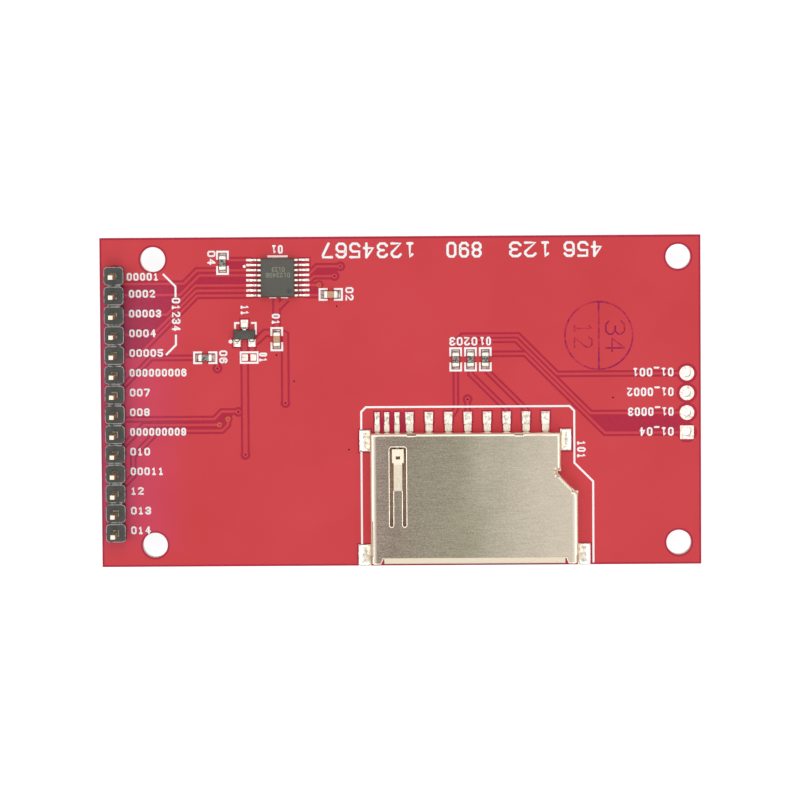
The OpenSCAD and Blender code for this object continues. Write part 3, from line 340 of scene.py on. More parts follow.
def gold_flash():
    """Drawn square wire with a thin gold flash: pale, bright, with fine draw lines along it."""
    material, tree, shader = new_material("gold_flash", "#f3e6c4", 0.25, 1.0)
    lines = grain(tree, 0.05 * MM, (1, 1, 20))
    tip = shade_between(tree, lines, "#f2e6c6", "#fff8e6")
    side = shade_between(tree, lines, "#cdb886", "#e0cd9e")
    paint(tree, shader, side, tip, facing_up(tree))
    roughen(tree, shader, lines, 0.15, 0.005 * MM)
    return material


# Place and radius of the ejector pin's mark, coloured darker as painted shade of its dimple
CHIP_SPOT = Vector((0.72, 0.78)) * MM
CHIP_SPOT_RADIUS = 0.3 * MM


def chip_epoxy():
    """Black moulding epoxy with silica filler: grey-brown, matt, finely speckled.

    The ejector pin leaves its round mark near the first lead, coloured darker: partly its own
    polished skin, partly painted shade for the shallow dimple that the surface lacks.
    """
    material, tree, shader = new_material("chip_epoxy", "#4c4d44", 0.55)
    filler = grain(tree, 0.08 * MM, detail=3.0)
    skin = shade_between(tree, filler, "#403f38", "#525047")
    place = add_node(tree, "TexCoord").outputs["Object"]
    low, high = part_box("touch_chip")
    spot = (high.x - CHIP_SPOT.x, low.y + CHIP_SPOT.y, high.z)
    away = add_node(tree, "VectorMath", {0: place, 1: spot}, operation="DISTANCE")
    inside = add_node(tree, "Math", {0: away.outputs["Value"], 1: CHIP_SPOT_RADIUS},
                      operation="LESS_THAN")
    # Painted shade: the ejector pin's mark is coloured darker
    paint(tree, shader, skin, linear("#373a3c"), inside.outputs[0])
    roughen(tree, shader, filler, 0.4, 0.01 * MM)
    return material


def regulator_epoxy():
    """The same epoxy from another mould: darker and a little rougher."""
    material, tree, shader = new_material("regulator_epoxy", "#45443e", 0.6)
    filler = grain(tree, 0.18 * MM, detail=3.0)
    paint(tree, shader, shade_between(tree, filler, "#2f2d29", "#4c4942"))
    roughen(tree, shader, filler, 0.5, 0.015 * MM)
    return material


def laser_mark(name, low, high):
    """Epoxy skin burnt pale by a marking laser: thin, matt and a little uneven."""
    material, tree, shader = new_material(name, low, 0.7)
    paint(tree, shader, shade_between(tree, grain(tree, 0.1 * MM), low, high))
    return material


def resist_plug():
    """Resist sunk into a plated via: a small hollow in its own red, darkened near black as painted
    shade of the hole below.
    """
    material, tree, shader = new_material("resist_plug", "#430010", 0.5,
                                          others={"Specular IOR Level": 0.1})
    # Painted shade: the resist in the via is coloured near black
    paint(tree, shader, shade_between(tree, grain(tree, 0.1 * MM), "#38000c", "#4e0014"))
    return material


def matt_tin():
    """Matt tin plate on copper leads and end caps: near white, and darker on its sloping faces, where
    it was bent, as painted shade.
    """
    material, tree, shader = new_material("matt_tin", "#e8e4d8", 0.35, 1.0)
    crystals = grain(tree, 0.12 * MM)
    level = shade_between(tree, crystals, "#cfcabb", "#f8f6ee")
    # Painted shade: faces that slope are coloured darker
    paint(tree, shader, level, linear("#9a9286"), steepness(tree, 0.97, 0.85))
    roughen(tree, shader, crystals, 0.3, 0.015 * MM)
    return material


# Tones of the glaze; the pale stop paints highlights as bright streaks
GLAZE_GLINT_STOPS = ((0.36, "#3c3f38"), (0.5, "#6c6e62"), (0.56, "#c9cabf"), (0.6, "#5f6156"))


def resistor_glaze():
    """Glass glaze over a thick-film resistor: grey-green, with bright streaks as painted highlights.
    """
    material, tree, shader = new_material("resistor_glaze", "#66685a", 0.3)
    glaze_glints = grain(tree, 0.28 * MM, detail=3.0)
    # Painted highlight: pale streaks in the glaze
    paint(tree, shader, shade_by_stops(tree, glaze_glints, GLAZE_GLINT_STOPS))
    return material


def fired_ceramic():
    """Fired barium-titanate ceramic: tan, fine-grained and dull."""
    material, tree, shader = new_material("fired_ceramic", "#c09a74", 0.5)
    paint(tree, shader, shade_between(tree, grain(tree, 0.15 * MM), "#b48d68", "#cba985"))
    return material


# Painted reflection: tints from the shell's darker left end to its paler right, and how far they
# drift, as a share of its length
SHELL_REFLECTION_STOPS = ((0.055, "#9b8f82"), (0.12, "#928679"), (0.3, "#968f7e"), (0.42, "#99937f"),
               (0.54, "#a7a18f"), (0.68, "#b6ad9d"), (0.82, "#bfb5a4"), (1.0, "#c4b9a8"))
SHELL_DRIFT = 0.3
# Where the painted highlight band at each end starts to fade and where it ends, how far past the
# right end the pits would fade out, and how deep the lip with painted shade is
SHELL_END_HIGHLIGHT = (1.25 * MM, 1.6 * MM)
SHELL_SMOOTH_END = 15 * MM
SHELL_LIP = 1.1 * MM


def stamped_steel():
    """Nickel-plated steel sheet, rolled and stamped: finely pitted, with a painted reflection that
    runs darker at the left end and paler at the right.

    Its bends and a band at each end are painted pale as highlights, and the lip of the mouth carries
    painted shade.
    """
    material, tree, shader = new_material("stamped_steel", "#b4ad99", 0.3, 1.0)
    low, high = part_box("socket_shell")
    drift = add_node(tree, "Math", {0: grain(tree, 6 * MM, detail=3.0), 1: 0.5},
                     operation="SUBTRACT")
    along = add_node(tree, "Math", {0: drift.outputs[0], 1: SHELL_DRIFT,
                                    2: place_along(tree, "X", low.x, high.x)},
                     operation="MULTIPLY_ADD")
    # Painted reflection: the shell's colour is darker at its left end and paler at its right
    reflection_tint = shade_by_stops(tree, along.outputs[0], SHELL_REFLECTION_STOPS)
    worn = add_node(tree, "Mix", {"Factor": 0.7, NUMBER_A: grain(tree, 0.14 * MM, (12, 1, 1)),
                                  NUMBER_B: grain(tree, 0.16 * MM, (1.3, 1, 1), 3.0)}).outputs[0]
    pits = shade_between(tree, worn, "#bdb9b4", "#ffffff", 0.36, 0.64)
    pitted = place_along(tree, "X", high.x + SHELL_SMOOTH_END, low.x)
    face = add_node(tree, "Mix", {"Factor": pitted, COLOUR_A: reflection_tint, COLOUR_B: pits},
                    data_type="RGBA", blend_type="MULTIPLY")
    # Painted highlight: a pale band across each end of the shell
    left = place_along(tree, "X", low.x + SHELL_END_HIGHLIGHT[1], low.x + SHELL_END_HIGHLIGHT[0])
    right = place_along(tree, "X", high.x - SHELL_END_HIGHLIGHT[1], high.x - SHELL_END_HIGHLIGHT[0])
    end_highlight = add_node(tree, "Math", {0: left, 1: right}, operation="ADD")
    level = add_node(tree, "Mix", {"Factor": end_highlight.outputs[0], COLOUR_A: face.outputs[COLOUR_OUT],
                                   COLOUR_B: linear("#d8ccba")}, data_type="RGBA")
    # Painted highlight on the steep bends, and painted shade on the lip of the mouth
    lip_shade_mask = place_along(tree, "Y", low.y + SHELL_LIP, low.y + SHELL_LIP - SURFACE_SLACK)
    bend_highlight_and_lip_shade = add_node(tree, "Mix", {"Factor": lip_shade_mask, COLOUR_A: linear("#e0d5c2"),
                                  COLOUR_B: linear("#b5aa98")}, data_type="RGBA")
    paint(tree, shader, level.outputs[COLOUR_OUT], bend_highlight_and_lip_shade.outputs[COLOUR_OUT],
          steepness(tree, 0.995, 0.93))
    roughen(tree, shader, worn, 0.2, 0.01 * MM)
    return material


def burnished_edge():
    """Sheet edge rolled over by the punch: bright and smooth."""
    material, tree, shader = new_material("burnished_edge", "#fff6e2", 0.25, 0.8)
    paint(tree, shader, shade_between(tree, grain(tree, 0.8 * MM), "#f3e7cf", "#fffaf0"))
    return material


def socket_polymer():
    """Glass-filled liquid-crystal polymer, moulded: dull tan with faint flow marks, coloured paler
    than its own tan as painted light, to offset the shade inside the shell's slots.
    """
    material, tree, shader = new_material("socket_polymer", "#d4ac8c", 0.5)
    flow = grain(tree, 0.3 * MM, (6, 1, 1))
    # Painted light: the polymer is coloured paler than it is, to lift the shade in the slots
    paint(tree, shader, shade_between(tree, flow, "#e9c3a0", "#ffdab6"))
    roughen(tree, shader, flow, 0.2, 0.01 * MM)
    return material


def spring_bronze():
    """Stamped phosphor bronze under a thin tinned flash: silvery cream with rolling lines."""
    material, tree, shader = new_material("spring_bronze", "#e3dccb", 0.3, 1.0)
    lines = grain(tree, 0.08 * MM, (1, 12, 1))
    paint(tree, shader, shade_between(tree, lines, "#d2c8b0", "#f0eadc"))
    return material


def coated_film():
    """Hard-coated polyester film of the touch panel: clear, with a fine anti-glare grain."""
    material, tree, shader = new_material("coated_film", "#f2f4f2", 0.12,
                                          others={"Transmission Weight": 1.0, "IOR": 1.5})
    roughen(tree, shader, grain(tree, 0.1 * MM), 0.05, 0.004 * MM)
    return material


def sheet_glass():
    """Drawn soda-lime sheet glass: clear, with the green of iron at its edges."""
    material, tree, shader = new_material("sheet_glass", "#e9f3ee", 0.02,
                                          others={"Transmission Weight": 1.0, "IOR": 1.52})
    cut = shade_between(tree, grain(tree, 0.3 * MM, (6, 6, 1)), "#b9d6c8", "#cfe6da")
    paint(tree, shader, cut, linear("#eef5f1"), facing_up(tree))
    return material


def polariser_film():
    """Iodine-stained polarising film: neutral near-black with a glossy hard coat."""
    material, tree, shader = new_material("polariser_film", "#15181b", 0.15)
    paint(tree, shader, shade_between(tree, grain(tree, 12 * MM), "#131619", "#181b1f"))
    return material


FLEX_LINE_PITCH = 0.6 * MM
# A wave texture repeats every 2 pi / 20 units at a scale of 1
FLEX_WAVE_SCALE = 2 * math.pi / 20 / FLEX_LINE_PITCH


def polyimide_flex():
    """Amber polyimide film over etched copper lines that run along the flex."""
    material, tree, shader = new_material("polyimide_flex", "#b8762c", 0.3)
    place = add_node(tree, "TexCoord").outputs["Object"]
    lines = add_node(tree, "TexWave", {"Vector": place, "Scale": FLEX_WAVE_SCALE},
                     bands_direction="Y")
    paint(tree, shader, shade_between(tree, lines.outputs["Fac"], "#a8672a", "#c4863c", 0.35, 0.65))
    return material


def black_tape():
    """Black polyester tape: matt, with a faint crosswise calender line."""
    material, tree, shader = new_material("black_tape", "#1e1e20", 0.55)
    paint(tree, shader, shade_between(tree, grain(tree, 0.4 * MM, (1, 10, 1)), "#1a1a1c", "#252527"))
    return material


def clear_adhesive():
    """Optically clear acrylic adhesive, milky at its cut edge."""
    material, tree, shader = new_material("clear_adhesive", "#dcdcd4", 0.4)
    paint(tree, shader, shade_between(tree, grain(tree, 0.5 * MM), "#d2d2ca", "#e4e4dc"))
    return material


def ground_silicon():
    """Bare ground silicon: dark blue-grey mirror with fine grinding lines."""
    material, tree, shader = new_material("ground_silicon", "#4a4c54", 0.2, 0.8)
    paint(tree, shader, shade_between(tree, grain(tree, 0.05 * MM, (10, 1, 1)), "#40424a", "#565963"))
    return material


def light_film():
    """Embossed polyester light film: milky and smooth."""
    material, tree, shader = new_material("light_film", "#e9ebe9", 0.35)
    paint(tree, shader, shade_between(tree, grain(tree, 0.2 * MM, (1, 30, 1)), "#e2e4e2", "#f0f2f0"))
    return material


def moulded_acrylic():
    """Clear moulded acrylic with printed dots, white from the light it holds."""
    material, tree, shader = new_material("moulded_acrylic", "#e2ecec", 0.15)
    paint(tree, shader, shade_between(tree, grain(tree, 0.4 * MM), "#dae6e6", "#eaf2f2"))
    return material


def reflective_film():
    """Silvered polyester reflector: bright and slightly hazy."""
    material, tree, shader = new_material("reflective_film", "#dfe3e6", 0.15, 1.0)
    paint(tree, shader, shade_between(tree, grain(tree, 3 * MM), "#d6dade", "#e8ebee"))
    return material


def led_window():
    """White lamp package with a pale yellow phosphor window."""
    material, tree, shader = new_material("led_window", "#f1e9b8", 0.3)
    paint(tree, shader, shade_between(tree, grain(tree, 0.4 * MM), "#f4f1dc", "#efe4a0"))
    return material


def white_polycarbonate():
    """White moulded polycarbonate with titanium pigment: soft gloss and faint flow marks."""
    material, tree, shader = new_material("white_polycarbonate", "#e9e9e4", 0.4)
    flow = grain(tree, 2 * MM, (3, 1, 1))
    paint(tree, shader, shade_between(tree, flow, "#e3e3dd", "#eeeeea"))
    roughen(tree, shader, grain(tree, 0.2 * MM), 0.1, 0.01 * MM)
    return material


def foam_sheet():
    """Closed-cell polyethylene foam, die cut: white and pitted."""
    material, tree, shader = new_material("foam_sheet", "#ecece8", 0.8)
    cells = grain(tree, 0.25 * MM, detail=1.0)
    paint(tree, shader, shade_between(tree, cells, "#dcdcd6", "#f2f2ee"))
    roughen(tree, shader, cells, 0.8, 0.06 * MM)
    return material


# Record slot of each node, and the finish that stands for it
FINISHES = {
    "lacquered_laminate": resist_over_laminate(),
    "lacquered_copper": resist_over_copper(),
    "tinned_copper": levelled_solder(),
    "bare_copper": plated_copper(),
    "white_ink": legend_ink(),
    "stamp_ink": stamp_ink(),
    "black_nylon": header_nylon(),
    "plated_pin": gold_flash(),
    "solder": wetted_solder(),
    "chip_epoxy": chip_epoxy(),
    "tinned_lead": matt_tin(),
    "resistor_glaze": resistor_glaze(),
    "capacitor_ceramic": fired_ceramic(),
    "stamped_steel": stamped_steel(),
    "socket_polymer": socket_polymer(),
    "plated_contact": spring_bronze(),
    "touch_film": coated_film(),
    "clear_adhesive": clear_adhesive(),
    "clear_glass": sheet_glass(),
    "amber_flex": polyimide_flex(),
    "black_tape": black_tape(),
    "polariser": polariser_film(),
    "silicon": ground_silicon(),
    "light_film": light_film(),
    "light_guide": moulded_acrylic(),
    "reflector_film": reflective_film(),
    "led_body": led_window(),
    "white_moulding": white_polycarbonate(),
    "foam": foam_sheet(),
}
OWN_FINISHES = {"regulator": regulator_epoxy()}


def finish_with(piece, material):
    piece.data.materials.clear()
    piece.data.materials.append(material)


def finish_nodes():
    for part in frame["record"]["subparts"]:
        name = part["node"]
        finish_with(nodes[name], OWN_FINISHES.get(name, FINISHES[part["material_slot"]]))


# ---- Mouldings and shell: pieces that stand for a node, with its edges finished ----

HEADER_EDGE = 0.1 * MM
CHIP_EDGE = 0.03 * MM
# Faces nearer to one plane than the first are joined, edges sharper than the second are broken,
# and those sharper than the third stay sharp to the eye
FLAT_ANGLE = math.radians(0.5)
BROKEN_ANGLE = math.radians(30)
SHARP_ANGLE = math.radians(40)

SHELL_HEIGHT = 2.8 * MM
SHELL_FOOT_REACH = 0.8 * MM
# Middle of the window, in from the shell's left side and rear edge and down from its top
TONGUE_HEAD = Vector((3.545, 3.15, 0.75)) * MM
TONGUE_WINDOW = Vector((0.56, 0.42, 0.7)) * MM
RIM_WIDTH = 0.13 * MM
RIM_SINK = 0.3 * RIM_WIDTH
# How deep the steps in the shell's right side reach, and where they start and end from its rear
STEP_REACH = 4 * MM
STEP_SPAN = (4 * MM, 9 * MM)


def activate(piece):
    bpy.ops.object.select_all(action="DESELECT")
    piece.select_set(True)
    bpy.context.view_layer.objects.active = piece


def copy_of(name, new_name, flat_angle=None):
    """A copy of a node with its loose triangles merged.

    Those that lie in one plane, to within flat_angle, become one face.
    """
    piece = bpy.data.objects.new(new_name, nodes[name].data.copy())
    scene.collection.objects.link(piece)
    activate(piece)
    bpy.ops.object.mode_set(mode="EDIT")
    bpy.ops.mesh.select_all(action="SELECT")
    bpy.ops.mesh.remove_doubles(threshold=MERGE_DISTANCE)
    if flat_angle:
        bpy.ops.mesh.dissolve_limited(angle_limit=flat_angle)
    bpy.ops.object.mode_set(mode="OBJECT")
    return piece


def soften(name, width, rim=None):
    """A copy of a node with its edges broken, as a mould leaves them; it replaces the node.

    Where a rim material is given, the broken edges wear it.
    """
    piece = copy_of(name, name + "_softened", FLAT_ANGLE)
    bevel = piece.modifiers.new("edges", "BEVEL")
    bevel.width = width
    bevel.segments = 2
    bevel.limit_method = "ANGLE"
    bevel.angle_limit = BROKEN_ANGLE
    if rim:
        piece.data.materials.append(rim)
        bevel.material = 1
    bpy.ops.object.modifier_apply(modifier=bevel.name)
    bpy.ops.object.shade_smooth_by_angle(angle=SHARP_ANGLE)
    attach(piece, "root")
    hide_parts(name)


def tongue_head():
    """Middle of the window in the tongue's head, measured from the shell's rear left corner."""
    low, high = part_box("socket_shell")
    return Vector((low.x + SHELL_FOOT_REACH + TONGUE_HEAD.x, high.y - TONGUE_HEAD.y,
                   PAD_TOP + SHELL_HEIGHT - TONGUE_HEAD.z))


def pierced_shell():
    """The shell with the window in its tongue's head, through which the card's catch shows."""
    bpy.ops.object.select_all(action="DESELECT")
    bpy.ops.mesh.primitive_cube_add(size=1)
    cutter = bpy.context.object
    cutter.scale = TONGUE_WINDOW
    cutter.location = tongue_head()
    bpy.ops.object.transform_apply(location=True, rotation=True, scale=True)
    piece = copy_of("socket_shell", "socket_shell_pierced")
    cut = piece.modifiers.new("window", "BOOLEAN")
    cut.operation = "DIFFERENCE"
    cut.solver = "EXACT"
    cut.object = cutter
    bpy.ops.object.modifier_apply(modifier=cut.name)
    bpy.data.objects.remove(cutter)
    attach(piece, "root")
    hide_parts("socket_shell")


def punched_rims():
    """The burnished edges that the punch rolls over: a fine round bead along each cut.

    The stepped side has none, because its short edges turn too tightly for a bead.
    """
    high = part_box("socket_shell")[1]
    top = PAD_TOP + SHELL_HEIGHT
    piece = copy_of("socket_shell", "punched_rims")
    bpy.ops.object.mode_set(mode="EDIT")
    bpy.ops.mesh.select_mode(type="EDGE")
    bpy.ops.mesh.select_all(action="DESELECT")
    mesh = bmesh.from_edit_mesh(piece.data)
    for edge in mesh.edges:
        level = all(abs(corner.co.z - top) < SURFACE_SLACK for corner in edge.verts)
        slopes = sorted(abs(face.normal.z) for face in edge.link_faces)
        cut = len(slopes) == 2 and slopes[0] < UPRIGHT_NORMAL and slopes[1] > LEVEL_NORMAL
        stepped = all(corner.co.x > high.x - STEP_REACH
                      and STEP_SPAN[0] < high.y - corner.co.y < STEP_SPAN[1]
                      for corner in edge.verts)
        edge.select = stepped or not (level and cut)
    bmesh.update_edit_mesh(piece.data)
    bpy.ops.mesh.delete(type="EDGE")
    bpy.ops.object.mode_set(mode="OBJECT")
    bpy.ops.object.convert(target="CURVE")
    piece = bpy.context.object
    piece.data.bevel_depth = RIM_WIDTH / 2
    piece.data.bevel_resolution = 1
    bpy.ops.object.convert(target="MESH")
    piece = bpy.context.object
    bpy.ops.object.mode_set(mode="EDIT")
    bpy.ops.mesh.select_all(action="SELECT")
    bpy.ops.transform.translate(value=(0, 0, -RIM_SINK))
    bpy.ops.mesh.normals_make_consistent(inside=False)
    bpy.ops.object.mode_set(mode="OBJECT")
    bpy.ops.object.shade_smooth()
    finish_with(piece, burnished_edge())
    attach(piece, "root")


# ---- Places of the nodes' separate solids ----

def islands(name, above=-math.inf):
    """The lowest and highest corner of each separate solid of a node, or of its part above."""
    mesh = bmesh.new()
    mesh.from_mesh(nodes[name].data)
    bmesh.ops.remove_doubles(mesh, verts=mesh.verts, dist=MERGE_DISTANCE)
    boxes = []
    waiting = {corner for corner in mesh.verts if corner.co.z > above}
    while waiting:
        front = [waiting.pop()]
        solid = []
        while front:
            corner = front.pop()
            solid.append(corner.co)
            for edge in corner.link_edges:
                other = edge.other_vert(corner)
                if other in waiting:
                    waiting.remove(other)
                    front.append(other)
        boxes.append(tuple(Vector([pick(c[i] for c in solid) for i in range(3)])
                           for pick in (min, max)))
    mesh.free()
    return sorted(boxes, key=lambda box: (box[0].x + box[1].x, box[0].y + box[1].y))


def middle(box):
    return (box[0] + box[1]) / 2


# ---- Digits: strokes of each character on a grid 4 wide and 6 high ----

STROKES = {
    "0": [[(1, 0), (3, 0), (4, 1), (4, 5), (3, 6), (1, 6), (0, 5), (0, 1), (1, 0)]],
    "1": [[(1, 5), (2, 6), (2, 0)], [(1, 0), (3, 0)]],
    "2": [[(0, 5), (1, 6), (3, 6), (4, 5), (4, 4), (0, 0), (4, 0)]],
    "3": [[(0, 5), (1, 6), (3, 6), (4, 5), (4, 4), (3, 3), (4, 2), (4, 1), (3, 0), (1, 0),
           (0, 1)], [(1.5, 3), (3, 3)]],
    "4": [[(3, 0), (3, 6)], [(3, 6), (0, 2), (4, 2)]],
    "5": [[(4, 6), (0, 6), (0, 3.5), (3, 3.5), (4, 2.5), (4, 1), (3, 0), (1, 0), (0, 1)]],
    "6": [[(4, 5), (3, 6), (1, 6), (0, 5), (0, 1), (1, 0), (3, 0), (4, 1), (4, 2.5),
           (3, 3.5), (0, 3.5)]],
    "7": [[(0, 6), (4, 6), (4, 5), (1.5, 0)]],
    "8": [[(1, 3), (3, 3), (4, 4), (4, 5), (3, 6), (1, 6), (0, 5), (0, 4), (1, 3)],
          [(1, 3), (0, 2), (0, 1), (1, 0), (3, 0), (4, 1), (4, 2), (3, 3)]],
    "9": [[(0, 1), (1, 0), (3, 0), (4, 1), (4, 5), (3, 6), (1, 6), (0, 5), (0, 3.5),
           (1, 2.5), (4, 2.5)]],
    "_": [[(0, -0.9), (4, -0.9)]],
}
GRID = Vector((4, 6))
# How far out each step of a rounded end lies and how wide it is, as shares of the half width
END_STEPS = ((0.0, 1.0), (0.5, 0.87), (0.87, 0.5), (1.0, 0.05))
# Space between characters, as a share of their height
GAP_SHARE = 0.125
# How far each stroke of a character stands above the last, where they cross
LAYER_LIFT = 0.01 * MM


def draw_stroke(curve, points, radius, lift):
    """One stroke: closed where it ends at its start, and with round ends otherwise."""
    closed = points[0] == points[-1]
    if closed:
        knots = [(point, 1.0) for point in points[:-1]]
    else:
        first = (points[0] - points[1]).normalized() * radius
        last = (points[-1] - points[-2]).normalized() * radius
        knots = [(points[0] + first * out, wide) for out, wide in reversed(END_STEPS)]
        knots += [(point, 1.0) for point in points[1:-1]]
        knots += [(points[-1] + last * out, wide) for out, wide in END_STEPS]
    spline = curve.splines.new("POLY")
    spline.points.add(len(knots) - 1)
    spline.use_cyclic_u = closed
    for knot, (point, wide) in zip(spline.points, knots):
        knot.co = (point.x, point.y, lift, 1)
        knot.radius = wide


def draw_labels(name, labels, stroke, height, material):
    """Prints labels at a height. Each label: digits, middle x and y, length, cap height, turn."""
    curve = bpy.data.curves.new(name, "CURVE")
    curve.dimensions = "3D"
    curve.bevel_depth = stroke / 2 * MM
    curve.bevel_resolution = 1
    curve.use_fill_caps = True
    for digits, x, y, length, cap, turn in labels:
        gap = cap * GAP_SHARE
        pitch = (length + gap) / len(digits)
        cell = Vector((pitch - gap - stroke, cap - stroke))
        spin = Matrix.Rotation(math.radians(turn), 2)
        for number, digit in enumerate(digits):
            start = number * pitch + stroke / 2 - length / 2
            for layer, points in enumerate(STROKES[digit]):
                flat = [Vector((start + px / GRID.x * cell.x, (py / GRID.y - 0.5) * cell.y))
                        for px, py in points]
                draw_stroke(curve, [(spin @ point + Vector((x, y))) * MM for point in flat],
                            stroke / 2 * MM, layer * LAYER_LIFT)
    piece = bpy.data.objects.new(name, curve)
    scene.collection.objects.link(piece)
    activate(piece)
    bpy.ops.object.convert(target="MESH")
    piece = bpy.context.object
    bpy.ops.object.mode_set(mode="EDIT")
    bpy.ops.mesh.select_all(action="SELECT")
    bpy.ops.mesh.normals_make_consistent(inside=False)
    bpy.ops.transform.resize(value=(1, 1, INK_THICKNESS * 2 / stroke), center_override=(0, 0, 0))
    bpy.ops.transform.translate(value=(0, 0, height))
    bpy.ops.object.mode_set(mode="OBJECT")
    finish_with(piece, material)
    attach(piece, "root")


# Labels are in millimetres and degrees
INK_THICKNESS = 0.03
STROKE = 0.27
TITLE_STROKE = 0.38
STAMP_STROKE = 0.2
CHIP_MARK_STROKE = 0.09
# Digits and length of each pin's label, and where it starts beside and above its pin
PIN_LABELS = ((5, 4.15), (4, 3.43), (5, 4.2), (4, 3.48), (5, 4.4), (9, 7.38), (3, 2.63),
              (3, 2.6), (9, 7.27), (3, 2.6), (5, 4.34), (2, 1.73), (3, 2.66), (3, 2.58))
FIRST_PIN_LABEL = Vector((-35.15, -0.18))
PIN_LABEL = Vector((-34.9, 0.17))
CAP_HEIGHT = 1.05
TITLE = (("1234567", -4.0, 19.43, 12.1, 2.1, 180), ("890", 8.25, 19.43, 4.6, 2.1, 180),
         ("123", 16.75, 19.43, 5.5, 2.1, 180), ("456", 23.5, 19.43, 5.0, 2.1, 180))
LABELS = (
    ("01234", -28.8, 11.35, 4.3, 1.15, -90),
    ("01_001", 32.45, 3.55, 5.3, 1.15, 180), ("01_0002", 32.1, 1.01, 6.0, 1.15, 180),
    ("01_0003", 32.15, -1.54, 5.9, 1.15, 180), ("01_04", 32.9, -4.1, 4.4, 1.15, 180),
    ("101", 23.2, -6.35, 2.3, 1.15, -90), ("01", -15.75, 19.62, 1.5, 1.15, 180),
    ("04", -24.2, 18.6, 1.85, 1.1, -90), ("02", -6.5, 13.86, 1.75, 1.1, -90),
    ("01", -15.98, 10.65, 1.45, 1.1, -90), ("06", -22.78, 5.85, 1.7, 1.1, -90),
    ("01", -17.65, 5.77, 1.25, 1.1, -90), ("11", -19.97, 11.85, 1.3, 1.1, -90),
    ("03", 7.15, 7.66, 1.75, 1.15, 180), ("02", 9.04, 7.66, 1.75, 1.15, 180),
    ("01", 10.92, 7.66, 1.48, 1.15, 180),
)
CHIP_MARKS = (("0123", -15.6, 17.07, 1.65, 0.6, 180), ("0123456", -15.63, 16.35, 3.1, 0.6, 180))
STAMP_DIGITS = (("12", 23.5, 8.33, 3.25, 2.44, -90), ("34", 27.6, 8.2, 4.06, 2.6, -90))
REGULATOR_MARKS = (("0001", -20.1, 8.5, 1.56, 0.6, 180),)


def print_labels():
    pins = sorted(islands("header_pins"), key=lambda box: -box[0].y)
    rows = []
    for number, (box, (count, length)) in enumerate(zip(pins, PIN_LABELS), 1):
        start = FIRST_PIN_LABEL if number == 1 else PIN_LABEL
        rows.append((str(number).zfill(count), start.x + length / 2,
                     middle(box).y / MM + start.y, length, CAP_HEIGHT, 0))
    ink = FINISHES["white_ink"]
    draw_labels("pin_labels", rows, STROKE, INK_BASE, ink)
    draw_labels("part_labels", LABELS, STROKE, INK_BASE, ink)
    draw_labels("title_digits", TITLE, TITLE_STROKE, INK_BASE, ink)
    draw_labels("stamp_digits", STAMP_DIGITS, STAMP_STROKE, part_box("ink_stamp")[0].z,
                FINISHES["stamp_ink"])
    draw_labels("chip_marks", CHIP_MARKS, CHIP_MARK_STROKE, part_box("touch_chip")[1].z,
                laser_mark("chip_mark", "#8c8e7c", "#aeb09a"))
    draw_labels("regulator_marks", REGULATOR_MARKS, CHIP_MARK_STROKE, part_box("regulator")[1].z,
                laser_mark("regulator_mark", "#544f48", "#79736a"))


# ---- Solder ----

BLOCK_CUTS = 3
ROUNDING_LEVELS = 2
# Share of a block's height above which its corners are its top, and of its length past which
# they are its two ends, which drop by a share of the height
TOP_SHARE = 0.9
END_SHARE = 0.3
END_DROP = 0.3
# Start and end of each stretch of a fillet, in half lengths, and the share of its height left
FILLET_STRETCHES = ((-0.3, 0.3, 0.45), (0.3, 0.6, 0.315), (0.6, 2, 0.18))


def rough_block(size):
    """A cut-up block that stands on z = 0, in edit mode, with nothing selected."""
    bpy.ops.object.select_all(action="DESELECT")
    bpy.ops.mesh.primitive_cube_add(size=1, location=(0, 0, size.z / 2))
    block = bpy.context.object
    block.scale = size
    bpy.ops.object.transform_apply(location=True, rotation=True, scale=True)
    bpy.ops.object.mode_set(mode="EDIT")
    bpy.ops.mesh.subdivide(number_cuts=BLOCK_CUTS)
    bpy.ops.mesh.select_all(action="DESELECT")
    bpy.ops.mesh.select_mode(type="VERT")
    return block


def pick_corners(block, wanted):
    """Selects the corners of a block, in edit mode, whose place is wanted."""
    bpy.ops.mesh.select_all(action="DESELECT")
    mesh = bmesh.from_edit_mesh(block.data)
    for corner in mesh.verts:
        corner.select = bool(wanted(corner.co))
    mesh.select_flush_mode()
    bmesh.update_edit_mesh(block.data)


def smooth_block(block):
    bpy.ops.object.mode_set(mode="OBJECT")
    rounding = block.modifiers.new("rounding", "SUBSURF")
    rounding.levels = ROUNDING_LEVELS
    rounding.render_levels = ROUNDING_LEVELS
    bpy.ops.object.modifier_apply(modifier=rounding.name)
    bpy.ops.object.shade_smooth()


def mound(size, brow):
    """A dome of solder on a pad of the given size: its top edge is drawn in to brow."""
    block = rough_block(size)
    top = size.z * TOP_SHARE
    end = size.x * END_SHARE
    pick_corners(block, lambda place: place.z > top)
    bpy.ops.transform.resize(value=(brow, brow, 1), center_override=(0, 0, size.z))
    pick_corners(block, lambda place: place.z > top and abs(place.x) > end)
    bpy.ops.transform.translate(value=(0, 0, -size.z * END_DROP))
    smooth_block(block)
    return block


def fillet(size):
    """A concave wedge: full height at its low x end, and down to a thin toe at the other."""
    block = rough_block(size)
    half = size.x / 2
    for start, end, share in FILLET_STRETCHES:
        pick_corners(block, lambda place: place.z > 0 and start * half < place.x <= end * half)
        bpy.ops.transform.resize(value=(1, 1, share), center_override=(0, 0, 0))
    smooth_block(block)
    return block


